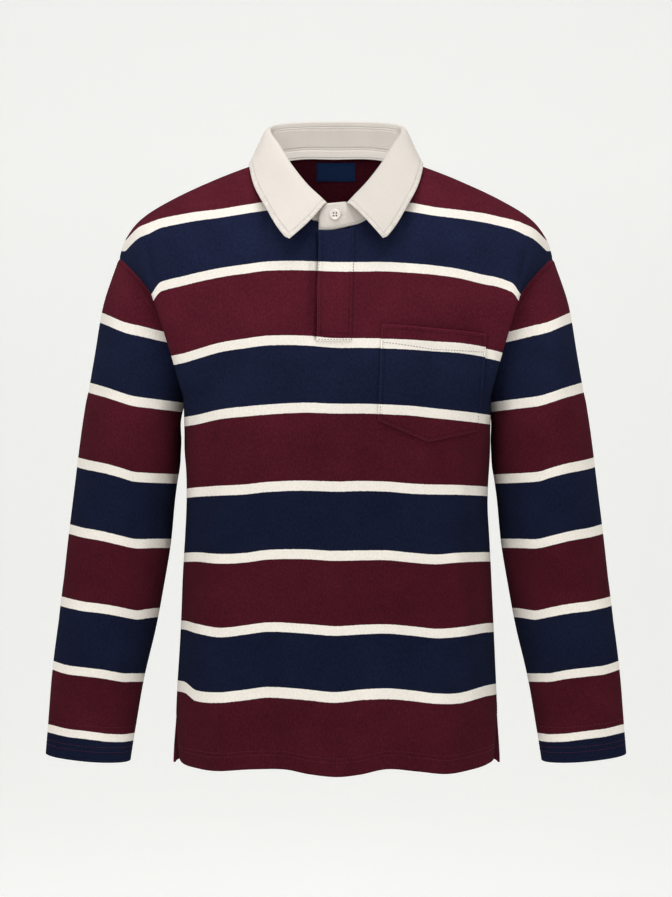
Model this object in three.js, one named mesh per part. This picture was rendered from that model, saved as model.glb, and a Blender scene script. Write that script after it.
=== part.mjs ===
// A long-sleeved striped rugby shirt, filled out as it is worn, with nobody in it.
// Millimetres, +Z up. The front faces -Y, and +X is on the right of someone looking at the front.
// The origin is midway between the two high shoulder points, where the neck seam crosses the shoulders.
// Each piece is one wall of cloth, open where the garment is open.

import * as THREE from 'three';

// Thickness of the cloth, gap at a seam and gap under a piece that lies on another
const jersey = 1.6;
const twill = 2;
const seamGap = 0.3;
const layerGap = 0.8;

// Heights of the body
const underarmHeight = -290;
const ventTop = -666;
const placketFoot = -219;
const placketSlotHalfWidth = 17;

// Colours
const maroon = 0x501a27;
const navy = 0x1c2138;
const cream = 0xeee5db;
const buttonCream = 0xe5ded7;

// Half of the neck: the seam on the body, the fold of the collar and the collar's outer edge,
// from the middle of the back to the front end. A row for each section.
const collarSections = [
  { seamX: 0, seamY: 60, seamZ: 20, foldX: 0, foldY: 60, foldZ: 55, edgeX: 0, edgeY: 86, edgeZ: 6 },
  { seamX: 42, seamY: 53, seamZ: 19, foldX: 42, foldY: 56, foldZ: 54, edgeX: 52, edgeY: 78, edgeZ: 5 },
  { seamX: 70, seamY: 32, seamZ: 12, foldX: 73, foldY: 37, foldZ: 48, edgeX: 88, edgeY: 50, edgeZ: 2 },
  { seamX: 82, seamY: 3, seamZ: 1, foldX: 77, foldY: 12, foldZ: 36, edgeX: 105, edgeY: 13, edgeZ: -1 },
  { seamX: 79, seamY: -20, seamZ: -17, foldX: 67, foldY: -8, foldZ: 16, edgeX: 105, edgeY: -15, edgeZ: -12 },
  { seamX: 67, seamY: -44, seamZ: -43, foldX: 50, foldY: -33, foldZ: -10, edgeX: 98, edgeY: -42, edgeZ: -37 },
  { seamX: 51, seamY: -62, seamZ: -65, foldX: 35, foldY: -55, foldZ: -34, edgeX: 84, edgeY: -70, edgeZ: -64 },
  { seamX: 32, seamY: -74, seamZ: -82, foldX: 21, foldY: -71, foldZ: -52, edgeX: 70, edgeY: -91, edgeZ: -89 },
  { seamX: 12, seamY: -80, seamZ: -89, foldX: 11, foldY: -80, foldZ: -63.5, edgeX: 57, edgeY: -105, edgeZ: -106 },
];

// Half of the shoulder seam, from the neck to the top of the armhole
const shoulderSeam = [
  { x: 82, y: 3, z: 1 },
  { x: 106, y: 0, z: -7 },
  { x: 149, y: 1, z: -24 },
  { x: 202, y: 3, z: -49 },
  { x: 238, y: 4, z: -72 },
  { x: 257, y: 4, z: -96 },
  { x: 263, y: 4, z: -117 },
];

// Columns of the panels from the side seam (0) to the middle (1): the place that a column heads for as it
// leaves the top edge, and how it comes down to the underarm level
const frontColumns = [
  { share: 0, yokeX: 240, yokeY: -71, yokeZ: -125, inX: -7, inY: -85, inZ: 45 },
  { share: 0.12, yokeX: 243, yokeY: -84, yokeZ: -97, inX: 22, inY: -45, inZ: 78 },
  { share: 0.25, yokeX: 219, yokeY: -82, yokeZ: -74, inX: 34, inY: -18, inZ: 100 },
  { share: 0.45, yokeX: 155, yokeY: -68, yokeZ: -50, inX: 6, inY: -6, inZ: 110 },
  { share: 0.6, yokeX: 108, yokeY: -63, yokeZ: -44, inX: 0, inY: -4, inZ: 110 },
  { share: 0.7, yokeX: 78, yokeY: -67, yokeZ: -60, inX: 0, inY: -3, inZ: 102 },
  { share: 0.85, yokeX: 39, yokeY: -84, yokeZ: -106, inX: 0, inY: -2, inZ: 84 },
  { share: 1, yokeX: 0, yokeY: -94, yokeZ: -138, inX: 0, inY: 0, inZ: 78 },
];

const backColumns = [
  { share: 0, yokeX: 244, yokeY: 74, yokeZ: -125, inX: -7, inY: 82, inZ: 45 },
  { share: 0.12, yokeX: 245, yokeY: 82, yokeZ: -96, inX: 2, inY: 48, inZ: 78 },
  { share: 0.25, yokeX: 217, yokeY: 80, yokeZ: -72, inX: 5, inY: 16, inZ: 100 },
  { share: 0.45, yokeX: 155, yokeY: 70, yokeZ: -44, inX: 0, inY: 8, inZ: 112 },
  { share: 0.6, yokeX: 108, yokeY: 66, yokeZ: -26, inX: 0, inY: 6, inZ: 116 },
  { share: 0.7, yokeX: 78, yokeY: 70, yokeZ: -18, inX: 0, inY: 6, inZ: 118 },
  { share: 0.85, yokeX: 39, yokeY: 82, yokeZ: -14, inX: 0, inY: 6, inZ: 116 },
  { share: 1, yokeX: 0, yokeY: 88, yokeZ: -14, inX: 0, inY: 6, inZ: 114 },
];

// Sections of the body below the arms: half width, depth of the front and of the back,
// and how far the side seam is drawn in from the widest place
const bodySections = [
  { z: -290, halfWidth: 194, front: 120, back: 118, tuck: 15 },
  { z: -330, halfWidth: 190, front: 119, back: 114, tuck: 11.5 },
  { z: -366, halfWidth: 187.5, front: 118, back: 111, tuck: 8 },
  { z: -415, halfWidth: 185.5, front: 117, back: 108, tuck: 4.5 },
  { z: -463, halfWidth: 186, front: 116, back: 108, tuck: 2 },
  { z: -537, halfWidth: 188.5, front: 116, back: 111, tuck: 0 },
  { z: -610, halfWidth: 192, front: 117, back: 115, tuck: 0 },
  { z: -666, halfWidth: 194.5, front: 118, back: 118, tuck: 0 },
  { z: -752, halfWidth: 196, front: 119, back: 120, tuck: 0 },
];
const sectionRoundness = 2.7;
const armCrowding = 1.2;
const armReach = 0.45;

// Heights of the hem, from the viewer's left to the right
const frontHem = [
  { x: -200, z: -724 },
  { x: -185, z: -728 },
  { x: -165, z: -730 },
  { x: -138, z: -730.5 },
  { x: -95, z: -727.5 },
  { x: -60, z: -727 },
  { x: -30, z: -732 },
  { x: 0, z: -734.5 },
  { x: 28, z: -732 },
  { x: 60, z: -726.5 },
  { x: 95, z: -730 },
  { x: 130, z: -733.5 },
  { x: 160, z: -731 },
  { x: 185, z: -727 },
  { x: 200, z: -725 },
];
const backHem = [
  { x: -200, z: -734 },
  { x: -150, z: -743 },
  { x: -70, z: -749 },
  { x: 0, z: -751 },
  { x: 70, z: -748 },
  { x: 150, z: -744 },
  { x: 200, z: -734 },
];

// Large soft folds that stand forward of the front and back: from a start to an end place
const frontFolds = [
  { startX: -118, startZ: -500, endX: -143, endZ: -734, width: 30, rise: 8 },
  { startX: 4, startZ: -520, endX: 9, endZ: -734, width: 36, rise: 9 },
  { startX: 112, startZ: -480, endX: 134, endZ: -734, width: 30, rise: 8 },
  { startX: -138, startZ: -400, endX: -172, endZ: -640, width: 12, rise: 3 },
  { startX: 130, startZ: -400, endX: 158, endZ: -600, width: 12, rise: 3 },
];
const backFolds = [
  { startX: -95, startZ: -430, endX: -120, endZ: -751, width: 34, rise: 9 },
  { startX: -16, startZ: -300, endX: -22, endZ: -751, width: 30, rise: 7 },
  { startX: 62, startZ: -360, endX: 70, endZ: -751, width: 28, rise: 7 },
  { startX: 128, startZ: -460, endX: 146, endZ: -751, width: 24, rise: 6 },
];
const armholeInset = 0.001;
const ventSpread = { frontIn: 3, frontForward: 7, backOut: 3, backRearward: 7 };

// Sections of a sleeve below the armhole: outer and inner edge seen from the front,
// the middle's place in depth and half the depth
const sleeveSections = [
  { outerX: 280.5, outerZ: -171, innerX: 188.5, innerZ: -318, middleY: -1, halfDepth: 65, frontDrop: 0 },
  { outerX: 293, outerZ: -235, innerX: 190.5, innerZ: -345, middleY: -1, halfDepth: 67, frontDrop: 0 },
  { outerX: 303.5, outerZ: -297, innerX: 192.5, innerZ: -376, middleY: -1, halfDepth: 66, frontDrop: 0 },
  { outerX: 313, outerZ: -362, innerX: 195.5, innerZ: -412, middleY: -2, halfDepth: 64, frontDrop: 0 },
  { outerX: 324, outerZ: -450, innerX: 202.5, innerZ: -474, middleY: -5, halfDepth: 60, frontDrop: 0 },
  { outerX: 335.5, outerZ: -550, innerX: 219, innerZ: -568, middleY: -11, halfDepth: 54, frontDrop: 0 },
  { outerX: 344.5, outerZ: -636, innerX: 235.5, innerZ: -649, middleY: -18, halfDepth: 45, frontDrop: 0 },
  { outerX: 350, outerZ: -719, innerX: 247.5, innerZ: -727.5, middleY: -26, halfDepth: 31, frontDrop: 3 },
];
const sleeveRoundness = 2.15;

// Soft folds down a sleeve, by turn round it (0 on top, 0.25 at the front) and share of its length
const sleeveFolds = [
  { startTurn: 0.13, startShare: 0.02, endTurn: 0.31, endShare: 0.66, width: 0.04, rise: 3.5 },
  { startTurn: 0.85, startShare: 0.04, endTurn: 0.7, endShare: 0.7, width: 0.045, rise: 3 },
];

// Patches on the front by their corners, seen from the front
const pocketShape = {
  topLeft: [53.5, -207.5],
  topRight: [177, -217],
  footRight: [166, -331],
  footLeft: [49, -319],
  pointDrop: 19,
};
const placketShape = {
  topLeft: [-20.5, -90.4],
  topRight: [22.5, -88.4],
  footRight: [19, -226],
  footLeft: [-23, -226],
};

const underPlacketShape = {
  topLeft: [-22, -91],
  topRight: [16, -91],
  footRight: [16, -222],
  footLeft: [-22, -222],
};

// Collar band, button, tape and label
const bandOverEnd = { seamX: -17.5, seamY: -80.5, seamZ: -89, foldX: -17, foldY: -81, foldZ: -66.5 };
const bandOverMiddle = { seamX: -3, seamY: -81.5, seamZ: -89.5, foldX: -3, foldY: -82, foldZ: -65.5 };
const bandUnderEnd = { seamX: 13, seamY: -77.5, seamZ: -88.5, foldX: 12, foldY: -78, foldZ: -65 };
const leafRoll = { out: 9, up: 4, share: 0.5, crown: 4, gap: 0.6 };
const bandUnderStep = 3;
const bandFootGap = 1.3;
const button = { x: -1.2, backY: -82.4, z: -75, radius: 6.4, thickness: 2.6 };
const buttonHole = { radius: 0.9, spread: 1.7 };
const tape = { height: 10, halfWidth: 60, drop: 1, thickness: 0.8, lift: 1.2 };
const label = { halfWidth: 24.5, top: 7, foot: -17, thickness: 0.8, lift: 0.7 };

// Interpolates the named columns of a table along one of them, with smooth cubic steps.
function readTable(rows, key, at, column) {
  const last = rows.length - 1;
  const rising = rows[last][key] > rows[0][key];
  const inOrder = (a, b) => (rising ? a <= b : a >= b);
  let low = 0;
  while (low < last - 1 && inOrder(rows[low + 1][key], at)) low += 1;
  const high = low + 1;
  const span = rows[high][key] - rows[low][key];
  const t = THREE.MathUtils.clamp((at - rows[low][key]) / span, 0, 1);
  const slopeAt = (i) => {
    const before = Math.max(i - 1, 0);
    const after = Math.min(i + 1, last);
    return (rows[after][column] - rows[before][column]) / (rows[after][key] - rows[before][key]);
  };
  const a = rows[low][column];
  const b = rows[high][column];
  const square = t * t;
  const cube = square * t;
  return a * (2 * cube - 3 * square + 1) + b * (3 * square - 2 * cube)
    + slopeAt(low) * span * (cube - 2 * square + t) + slopeAt(high) * span * (cube - square);
}

// A smooth path through points, read by its share of the length of the chords.
function pathThrough(points) {
  const rows = points.map((point) => ({ x: point.x, y: point.y, z: point.z, at: 0 }));
  for (let i = 1; i < rows.length; i += 1) {
    rows[i].at = rows[i - 1].at + points[i].distanceTo(points[i - 1]);
  }
  const total = rows[rows.length - 1].at;
  rows.forEach((row) => { row.at /= total; });
  return (share) => new THREE.Vector3(
    readTable(rows, 'at', share, 'x'),
    readTable(rows, 'at', share, 'y'),
    readTable(rows, 'at', share, 'z'),
  );
}

const toVector = (row, name = '') => new THREE.Vector3(
  row[name ? `${name}X` : 'x'],
  row[name ? `${name}Y` : 'y'],
  row[name ? `${name}Z` : 'z'],
);

function bezier(a, b, c, d, t) {
  const s = 1 - t;
  return new THREE.Vector3()
    .addScaledVector(a, s * s * s)
    .addScaledVector(b, 3 * s * s * t)
    .addScaledVector(c, 3 * s * t * t)
    .addScaledVector(d, t * t * t);
}

// A point on a quarter of a rounded section, by its share of the length from the side to the middle.
function quarterSection(halfWidth, depth, share) {
  const steps = 48;
  const power = 2 / sectionRoundness;
  const points = [];
  for (let i = 0; i <= steps; i += 1) {
    const angle = (i / steps) * Math.PI / 2;
    points.push([halfWidth * Math.cos(angle) ** power, depth * Math.sin(angle) ** power]);
  }
  const lengths = [0];
  for (let i = 1; i <= steps; i += 1) {
    const step = Math.hypot(points[i][0] - points[i - 1][0], points[i][1] - points[i - 1][1]);
    lengths.push(lengths[i - 1] + step);
  }
  const target = share * lengths[steps];
  let i = 1;
  while (i < steps && lengths[i] < target) i += 1;
  const t = (target - lengths[i - 1]) / (lengths[i] - lengths[i - 1]);
  return {
    x: THREE.MathUtils.lerp(points[i - 1][0], points[i][0], t),
    y: THREE.MathUtils.lerp(points[i - 1][1], points[i][1], t),
    length: lengths[steps],
  };
}

// The neckline's shape on one panel, from the shoulder seam to the middle
const sideRow = 3;
const seamPoints = collarSections.map((row) => toVector(row, 'seam'));
const frontMiddle = new THREE.Vector3(0, -81, -90);
const frontNeck = pathThrough([...seamPoints.slice(sideRow), frontMiddle]);
const backNeck = pathThrough(seamPoints.slice(0, sideRow + 1).reverse());
const shoulder = pathThrough(shoulderSeam.map((row) => toVector(row)));
const frontHalfLength = quarterSection(bodySections[0].halfWidth, bodySections[0].front, 1).length;
const neckHalfWidth = collarSections[sideRow].seamX;
const neckShare = 1 - neckHalfWidth / frontHalfLength;

// The place on one panel's neckline at a distance x from the middle
function onNeckline(face, x) {
  const neck = face < 0 ? frontNeck : backNeck;
  let low = 0;
  let high = 1;
  for (let i = 0; i < 40; i += 1) {
    const middle = (low + high) / 2;
    if (neck(middle).x > x) low = middle;
    else high = middle;
  }
  return neck((low + high) / 2);
}

// One panel's top edge by the share of the way from the side to the middle
function topEdge(face, share) {
  if (share < neckShare) return shoulder(1 - share / neckShare);
  return onNeckline(face, neckHalfWidth * (1 - share) / (1 - neckShare));
}

function foldRise(folds, x, z) {
  let rise = 0;
  for (const fold of folds) {
    const along = (z - fold.startZ) / (fold.endZ - fold.startZ);
    const middle = THREE.MathUtils.lerp(fold.startX, fold.endX, along);
    const across = (x - middle) / fold.width;
    rise += fold.rise * THREE.MathUtils.smoothstep(along, 0, 0.9) * Math.exp(-across * across);
  }
  return rise;
}

// A section of the body at one height, by the share of the way from the side seam to the middle
function bodySection(face, share, z) {
  const halfWidth = readTable(bodySections, 'z', z, 'halfWidth');
  const depth = readTable(bodySections, 'z', z, face < 0 ? 'front' : 'back');
  const tuck = readTable(bodySections, 'z', z, 'tuck');
  const besideArm = Math.max(1 - share / armReach, 0);
  const place = quarterSection(halfWidth, depth, share + armCrowding * share * besideArm ** 2);
  const drawn = tuck * (1 - THREE.MathUtils.smoothstep(share, 0, 0.2));
  return new THREE.Vector3(place.x - drawn, face * place.y, z);
}

// A point of the body's cloth. side is -1 or 1, drop runs from 0 at the top edge
// through 1 at the underarm level to 2 at the hem.
function bodyPoint(face, side, share, drop) {
  const columns = face < 0 ? frontColumns : backColumns;
  let point;
  if (drop < 1) {
    const start = topEdge(face, share);
    const end = bodySection(face, share, underarmHeight);
    const read = (column) => readTable(columns, 'share', share, column);
    const leave = new THREE.Vector3(read('yokeX'), read('yokeY'), read('yokeZ'));
    const arrive = end.clone().add(new THREE.Vector3(read('inX'), read('inY'), read('inZ')));
    point = bezier(start, leave, arrive, end, drop);
  } else {
    const hem = face < 0 ? frontHem : backHem;
    const width = bodySection(face, share, ventTop).x;
    const hemZ = readTable(hem, 'x', side * width, 'z');
    point = bodySection(face, share, THREE.MathUtils.lerp(underarmHeight, hemZ, drop - 1));
  }
  const folds = face < 0 ? frontFolds : backFolds;
  const facing = THREE.MathUtils.smoothstep(share, 0.05, 0.4);
  point.y += face * facing * foldRise(folds, side * point.x, point.z);
  const opened = THREE.MathUtils.smoothstep(-point.z, -ventTop, -ventTop + 70);
  const beside = (1 - THREE.MathUtils.smoothstep(share, 0, 0.3)) * opened;
  point.x += beside * (face < 0 ? -ventSpread.frontIn : ventSpread.backOut);
  point.y += face * beside * (face < 0 ? ventSpread.frontForward : ventSpread.backRearward);
  point.x *= side;
  return point;
}

// Outward direction of the body's cloth
function bodyNormal(face, side, share, drop) {
  const step = 0.004;
  const a = bodyPoint(face, side, Math.max(share - step, 0), drop);
  const b = bodyPoint(face, side, Math.min(share + step, 1), drop);
  const c = bodyPoint(face, side, share, Math.max(drop - step, 0));
  const d = bodyPoint(face, side, share, Math.min(drop + step, 2));
  const normal = b.sub(a).cross(d.sub(c)).normalize();
  return normal.multiplyScalar(-face * side);
}

// Share and drop of the place of the cloth that shows at x, z from the front or the back.
function bodyPlace(face, x, z) {
  const side = x < 0 ? -1 : 1;
  let share = 1 - Math.abs(x) / frontHalfLength;
  let drop = z > underarmHeight ? THREE.MathUtils.clamp(-z / -underarmHeight, 0.02, 0.98) : 1.5;
  for (let i = 0; i < 14; i += 1) {
    const here = bodyPoint(face, side, share, drop);
    const wide = bodyPoint(face, side, share - 0.01, drop);
    const low = bodyPoint(face, side, share, drop + 0.01);
    const a = (wide.x - here.x) / -0.01;
    const b = (low.x - here.x) / 0.01;
    const c = (wide.z - here.z) / -0.01;
    const d = (low.z - here.z) / 0.01;
    const det = a * d - b * c;
    const missX = x - here.x;
    const missZ = z - here.z;
    share = THREE.MathUtils.clamp(share + (d * missX - b * missZ) / det, 0.02, 1);
    drop = THREE.MathUtils.clamp(drop + (a * missZ - c * missX) / det, 0, 2);
  }
  return { side, share, drop };
}

function pointOnBody(face, x, z, lift) {
  const place = bodyPlace(face, x, z);
  const point = bodyPoint(face, place.side, place.share, place.drop);
  const normal = bodyNormal(face, place.side, Math.min(place.share, 0.998), place.drop);
  return point.addScaledVector(normal, lift);
}

// A wall of cloth from a grid of points on its outer face. lean gives the way through the wall at
// a seam where two pieces meet, and keep leaves cells out.
function clothWall({ grid, thickness, facing, closed = false, lean = () => null, keep = () => true }) {
  const rows = grid.length;
  const columns = grid[0].length;
  const wrap = (c) => (closed ? (c + columns) % columns : THREE.MathUtils.clamp(c, 0, columns - 1));
  const clampRow = (r) => THREE.MathUtils.clamp(r, 0, rows - 1);
  const positions = [];
  const inner = [];
  for (let r = 0; r < rows; r += 1) {
    for (let c = 0; c < columns; c += 1) {
      const point = grid[r][c];
      const across = grid[r][wrap(c + 1)].clone().sub(grid[r][wrap(c - 1)]);
      const down = grid[clampRow(r + 1)][c].clone().sub(grid[clampRow(r - 1)][c]);
      const through = lean(r, c) ?? across.cross(down).normalize().multiplyScalar(-facing);
      positions.push(point.x, point.y, point.z);
      inner.push(...point.clone().addScaledVector(through, thickness).toArray());
    }
  }
  const count = rows * columns;
  const cellColumns = closed ? columns : columns - 1;
  const corner = (r, c) => r * columns + (c % columns);
  const kept = (r, c) => {
    if (r < 0 || r >= rows - 1) return false;
    if (!closed && (c < 0 || c >= cellColumns)) return false;
    return keep(r, (c + cellColumns) % cellColumns);
  };
  const faces = [];
  const quad = (a, b, c, d, turned = false) => {
    if (turned) faces.push(b, c, d, b, d, a);
    else faces.push(a, b, c, a, c, d);
  };
  const at = (i) => grid[Math.floor(i / columns)][i % columns];
  for (let r = 0; r < rows - 1; r += 1) {
    for (let c = 0; c < cellColumns; c += 1) {
      if (!kept(r, c)) continue;
      let ring = [corner(r, c), corner(r, c + 1), corner(r + 1, c + 1), corner(r + 1, c)];
      let beyond = [kept(r - 1, c), kept(r, c + 1), kept(r + 1, c), kept(r, c - 1)];
      if (facing < 0) {
        ring = [ring[0], ring[3], ring[2], ring[1]];
        beyond = [beyond[3], beyond[2], beyond[1], beyond[0]];
      }
      const turned = at(ring[1]).distanceTo(at(ring[3])) < at(ring[0]).distanceTo(at(ring[2]));
      quad(...ring, turned);
      quad(...ring.map((i) => i + count).reverse(), turned);
      for (let k = 0; k < 4; k += 1) {
        if (beyond[k]) continue;
        const a = ring[k];
        const b = ring[(k + 1) % 4];
        quad(b, a, a + count, b + count);
      }
    }
  }
  const geometry = new THREE.BufferGeometry();
  geometry.setAttribute('position', new THREE.Float32BufferAttribute([...positions, ...inner], 3));
  geometry.setIndex(faces);
  return usedVerticesOnly(geometry).toNonIndexed();
}

function usedVerticesOnly(geometry) {
  const source = geometry.getAttribute('position');
  const order = new Map();
  const positions = [];
  const faces = [];
  for (const index of geometry.getIndex().array) {
    if (!order.has(index)) {
      order.set(index, order.size);
      positions.push(source.getX(index), source.getY(index), source.getZ(index));
    }
    faces.push(order.get(index));
  }
  const compact = new THREE.BufferGeometry();
  compact.setAttribute('position', new THREE.Float32BufferAttribute(positions, 3));
  compact.setIndex(faces);
  return compact;
}

function addPiece(name, geometry, color, roughness = 0.9) {
  geometry.computeVertexNormals();
  const material = new THREE.MeshStandardMaterial({ color, roughness, metalness: 0 });
  const mesh = new THREE.Mesh(geometry, material);
  mesh.name = name;
  shirt.add(mesh);
}

const shirt = new THREE.Group();
shirt.name = 'rugby_shirt';

// Front and back panels
const slotShare = 1 - placketSlotHalfWidth / frontHalfLength;

function evenly(count, from, to) {
  return Array.from({ length: count + 1 }, (_, i) => THREE.MathUtils.lerp(from, to, i / count));
}

function columnShares(sideCount, neckCount, lastShare) {
  const shares = evenly(sideCount, 0, neckShare);
  shares.push(...evenly(neckCount, neckShare, lastShare).slice(1));
  if (lastShare < 1) shares.push(1);
  return shares;
}

// The drop at which a column reaches a height
function dropAtHeight(face, share, z) {
  let low = 0;
  let high = 2;
  for (let i = 0; i < 40; i += 1) {
    const middle = (low + high) / 2;
    if (bodyPoint(face, 1, share, middle).z > z) low = middle;
    else high = middle;
  }
  return low;
}

function panel(face, shares, drops, keep) {
  const places = [
    ...shares.map((share) => ({ side: -1, share })),
    ...shares.slice(0, -1).reverse().map((share) => ({ side: 1, share })),
  ];
  const sideBack = 0.6 * seamGap;
  const grid = drops.map((drop, r) => places.map(({ side, share }) => {
    const point = bodyPoint(face, side, drop < 1 ? Math.max(share, armholeInset) : share, drop);
    const onShoulder = r === 0 && share <= neckShare + 0.001;
    if (share === 0 || onShoulder) point.y += face * sideBack;
    if (share === 0) point.x -= side * seamGap * THREE.MathUtils.smoothstep(drop, 0.4, 0.9);
    if (r === 0 && share > neckShare) point.z -= sideBack;
    return point;
  }));
  const lean = (r, c) => {
    const { side, share } = places[c];
    if (r === 0 && share <= neckShare + 0.001) {
      const nearer = topEdge(face, Math.min(share + 0.01, neckShare));
      const along = topEdge(face, Math.max(share - 0.01, 0)).sub(nearer);
      return new THREE.Vector3(side * along.z, 0, -along.x).normalize();
    }
    if (share === 0 && drops[r] >= 0.96) return new THREE.Vector3(-side, 0, 0);
    return null;
  };
  return clothWall({ grid, thickness: jersey, facing: face, lean, keep: (r, c) => keep(r, c, places) });
}

const slotRows = 8;
const slotDrop = dropAtHeight(-1, 1, placketFoot);
const ventDrop = dropAtHeight(-1, 0, ventTop);
const frontDrops = [
  ...evenly(slotRows, 0, slotDrop),
  ...evenly(5, slotDrop, 1).slice(1),
  ...evenly(12, 1, ventDrop).slice(1),
  ...evenly(4, ventDrop, 2).slice(1),
];
const frontShares = columnShares(12, 6, slotShare);
addPiece('front', panel(-1, frontShares, frontDrops, (r, c, places) => {
  const inSlot = Math.min(places[c].share, places[c + 1].share) >= slotShare - 0.001;
  return !(inSlot && r < slotRows);
}), maroon);

const backDrops = [
  ...evenly(12, 0, 1),
  ...evenly(12, 1, ventDrop).slice(1),
  ...evenly(4, ventDrop, 2).slice(1),
];
addPiece('back', panel(1, columnShares(10, 6, 1), backDrops, () => true), maroon);

// Sleeves
const sleeveRings = 18;

function armholePoint(turn) {
  const forward = turn <= 0.5;
  const along = forward ? turn * 2 : (1 - turn) * 2;
  return bodyPoint(forward ? -1 : 1, 1, 0, along);
}

function sleeveSection(row, turn) {
  const angle = turn * Math.PI * 2;
  const power = 2 / sleeveRoundness;
  const bend = (value) => Math.sign(value) * Math.abs(value) ** power;
  const reach = bend(Math.cos(angle));
  const depth = bend(Math.sin(angle));
  return new THREE.Vector3(
    (row.outerX + row.innerX) / 2 + reach * (row.outerX - row.innerX) / 2,
    row.middleY - depth * row.halfDepth,
    (row.outerZ + row.innerZ) / 2 + reach * (row.outerZ - row.innerZ) / 2 - depth * row.frontDrop,
  );
}

// The sleeve's columns start where the rows of the front and back reach the armhole.
const sleeveTurns = [
  ...frontDrops.filter((drop) => drop <= 1).map((drop) => drop / 2),
  ...backDrops.filter((drop) => drop > 0 && drop < 1).reverse().map((drop) => 1 - drop / 2),
];

function sleeveFoldRise(turn, share) {
  let rise = 0;
  for (const fold of sleeveFolds) {
    const along = (share - fold.startShare) / (fold.endShare - fold.startShare);
    if (along <= 0 || along >= 1) continue;
    const across = (turn - THREE.MathUtils.lerp(fold.startTurn, fold.endTurn, along)) / fold.width;
    rise += fold.rise * Math.sin(along * Math.PI) ** 0.5 * Math.exp(-across * across);
  }
  return rise;
}

function sleeve(side) {
  const grid = Array.from({ length: sleeveRings + 1 }, () => []);
  for (const turn of sleeveTurns) {
    const armhole = armholePoint(turn);
    const path = pathThrough([armhole, ...sleeveSections.map((row) => sleeveSection(row, turn))]);
    for (let r = 0; r <= sleeveRings; r += 1) {
      const point = path(r / sleeveRings);
      if (r === 0) point.copy(path(armholeInset));
      point.x *= side;
      grid[r].push(point);
    }
  }
  grid.forEach((ring, r) => {
    const middle = ring.reduce((sum, point) => sum.add(point), new THREE.Vector3()).divideScalar(ring.length);
    ring.forEach((point, c) => {
      const out = point.clone().sub(middle).normalize();
      point.addScaledVector(out, sleeveFoldRise(sleeveTurns[c], r / sleeveRings));
    });
  });
  return clothWall({ grid, thickness: jersey, facing: side, closed: true });
}
addPiece('sleeve_left', sleeve(-1), navy);
addPiece('sleeve_right', sleeve(1), navy);

// Collar
const collarStations = 40;

// The whole collar's sections from one front end round the back to the other
function wholeCollar() {
  const mirrored = collarSections.slice(1).reverse().map((row) => ({
    ...row,
    seamX: -row.seamX,
    foldX: -row.foldX,
    edgeX: -row.edgeX,
  }));
  const rows = [...mirrored, ...collarSections].map((row) => ({ ...row, at: 0 }));
  for (let i = 1; i < rows.length; i += 1) {
    const seamStep = toVector(rows[i], 'seam').distanceTo(toVector(rows[i - 1], 'seam'));
    const edgeStep = toVector(rows[i], 'edge').distanceTo(toVector(rows[i - 1], 'edge'));
    rows[i].at = rows[i - 1].at + seamStep + edgeStep;
  }
  const total = rows[rows.length - 1].at;
  rows.forEach((row) => { row.at /= total; });
  const read = (share, name) => new THREE.Vector3(
    readTable(rows, 'at', share, `${name}X`),
    readTable(rows, 'at', share, `${name}Y`),
    readTable(rows, 'at', share, `${name}Z`),
  );
  return evenly(collarStations, 0, 1).map((share) => ({
    seam: read(share, 'seam'),
    fold: read(share, 'fold'),
    edge: read(share, 'edge'),
  }));
}
const collar = wholeCollar();

function collarLeaf() {
  const steps = 6;
  const grid = Array.from({ length: steps + 1 }, () => []);
  collar.forEach(({ seam, fold, edge }, c) => {
    const before = collar[Math.max(c - 1, 0)].fold;
    const after = collar[Math.min(c + 1, collarStations)].fold;
    const along = after.clone().sub(before).normalize();
    const out = fold.clone().sub(seam).cross(along).normalize();
    const up = along.clone().cross(out).normalize();
    const start = fold.clone().addScaledVector(up, twill + leafRoll.gap);
    const leave = start.clone().addScaledVector(out, leafRoll.out).addScaledVector(up, leafRoll.up);
    const arrive = start.clone().lerp(edge, leafRoll.share).addScaledVector(out, leafRoll.crown);
    grid.forEach((row, r) => row.push(bezier(start, leave, arrive, edge, r / steps)));
  });
  return clothWall({ grid, thickness: twill, facing: 1 });
}
addPiece('collar_leaf', collarLeaf(), cream);

// The band under the leaf. Its over end passes in front of its under end.
function collarBand() {
  const steps = 3;
  const stations = collar.map(({ seam, fold }) => [seam.clone(), fold.clone()]);
  const end = (row, step) => ['seam', 'fold'].map((name) => {
    const point = toVector(row, name);
    point.y += step;
    return point;
  });
  for (let i = 0; i < 2; i += 1) {
    stations[i].forEach((point) => { point.y += bandUnderStep * (1 - i / 2); });
  }
  stations.unshift(end(bandUnderEnd, bandUnderStep));
  stations.push(end(bandOverMiddle, 0), end(bandOverEnd, 0));
  const grid = [];
  for (let r = 0; r <= steps; r += 1) {
    grid.push(stations.map(([seamPoint, foldPoint]) => {
      const height = foldPoint.clone().sub(seamPoint).normalize();
      const foot = seamPoint.clone().addScaledVector(height, bandFootGap);
      const top = foldPoint.clone().addScaledVector(height, -seamGap);
      return foot.lerp(top, 1 - r / steps);
    }));
  }
  return clothWall({ grid, thickness: twill, facing: 1 });
}
addPiece('collar_stand', collarBand(), cream);

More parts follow.
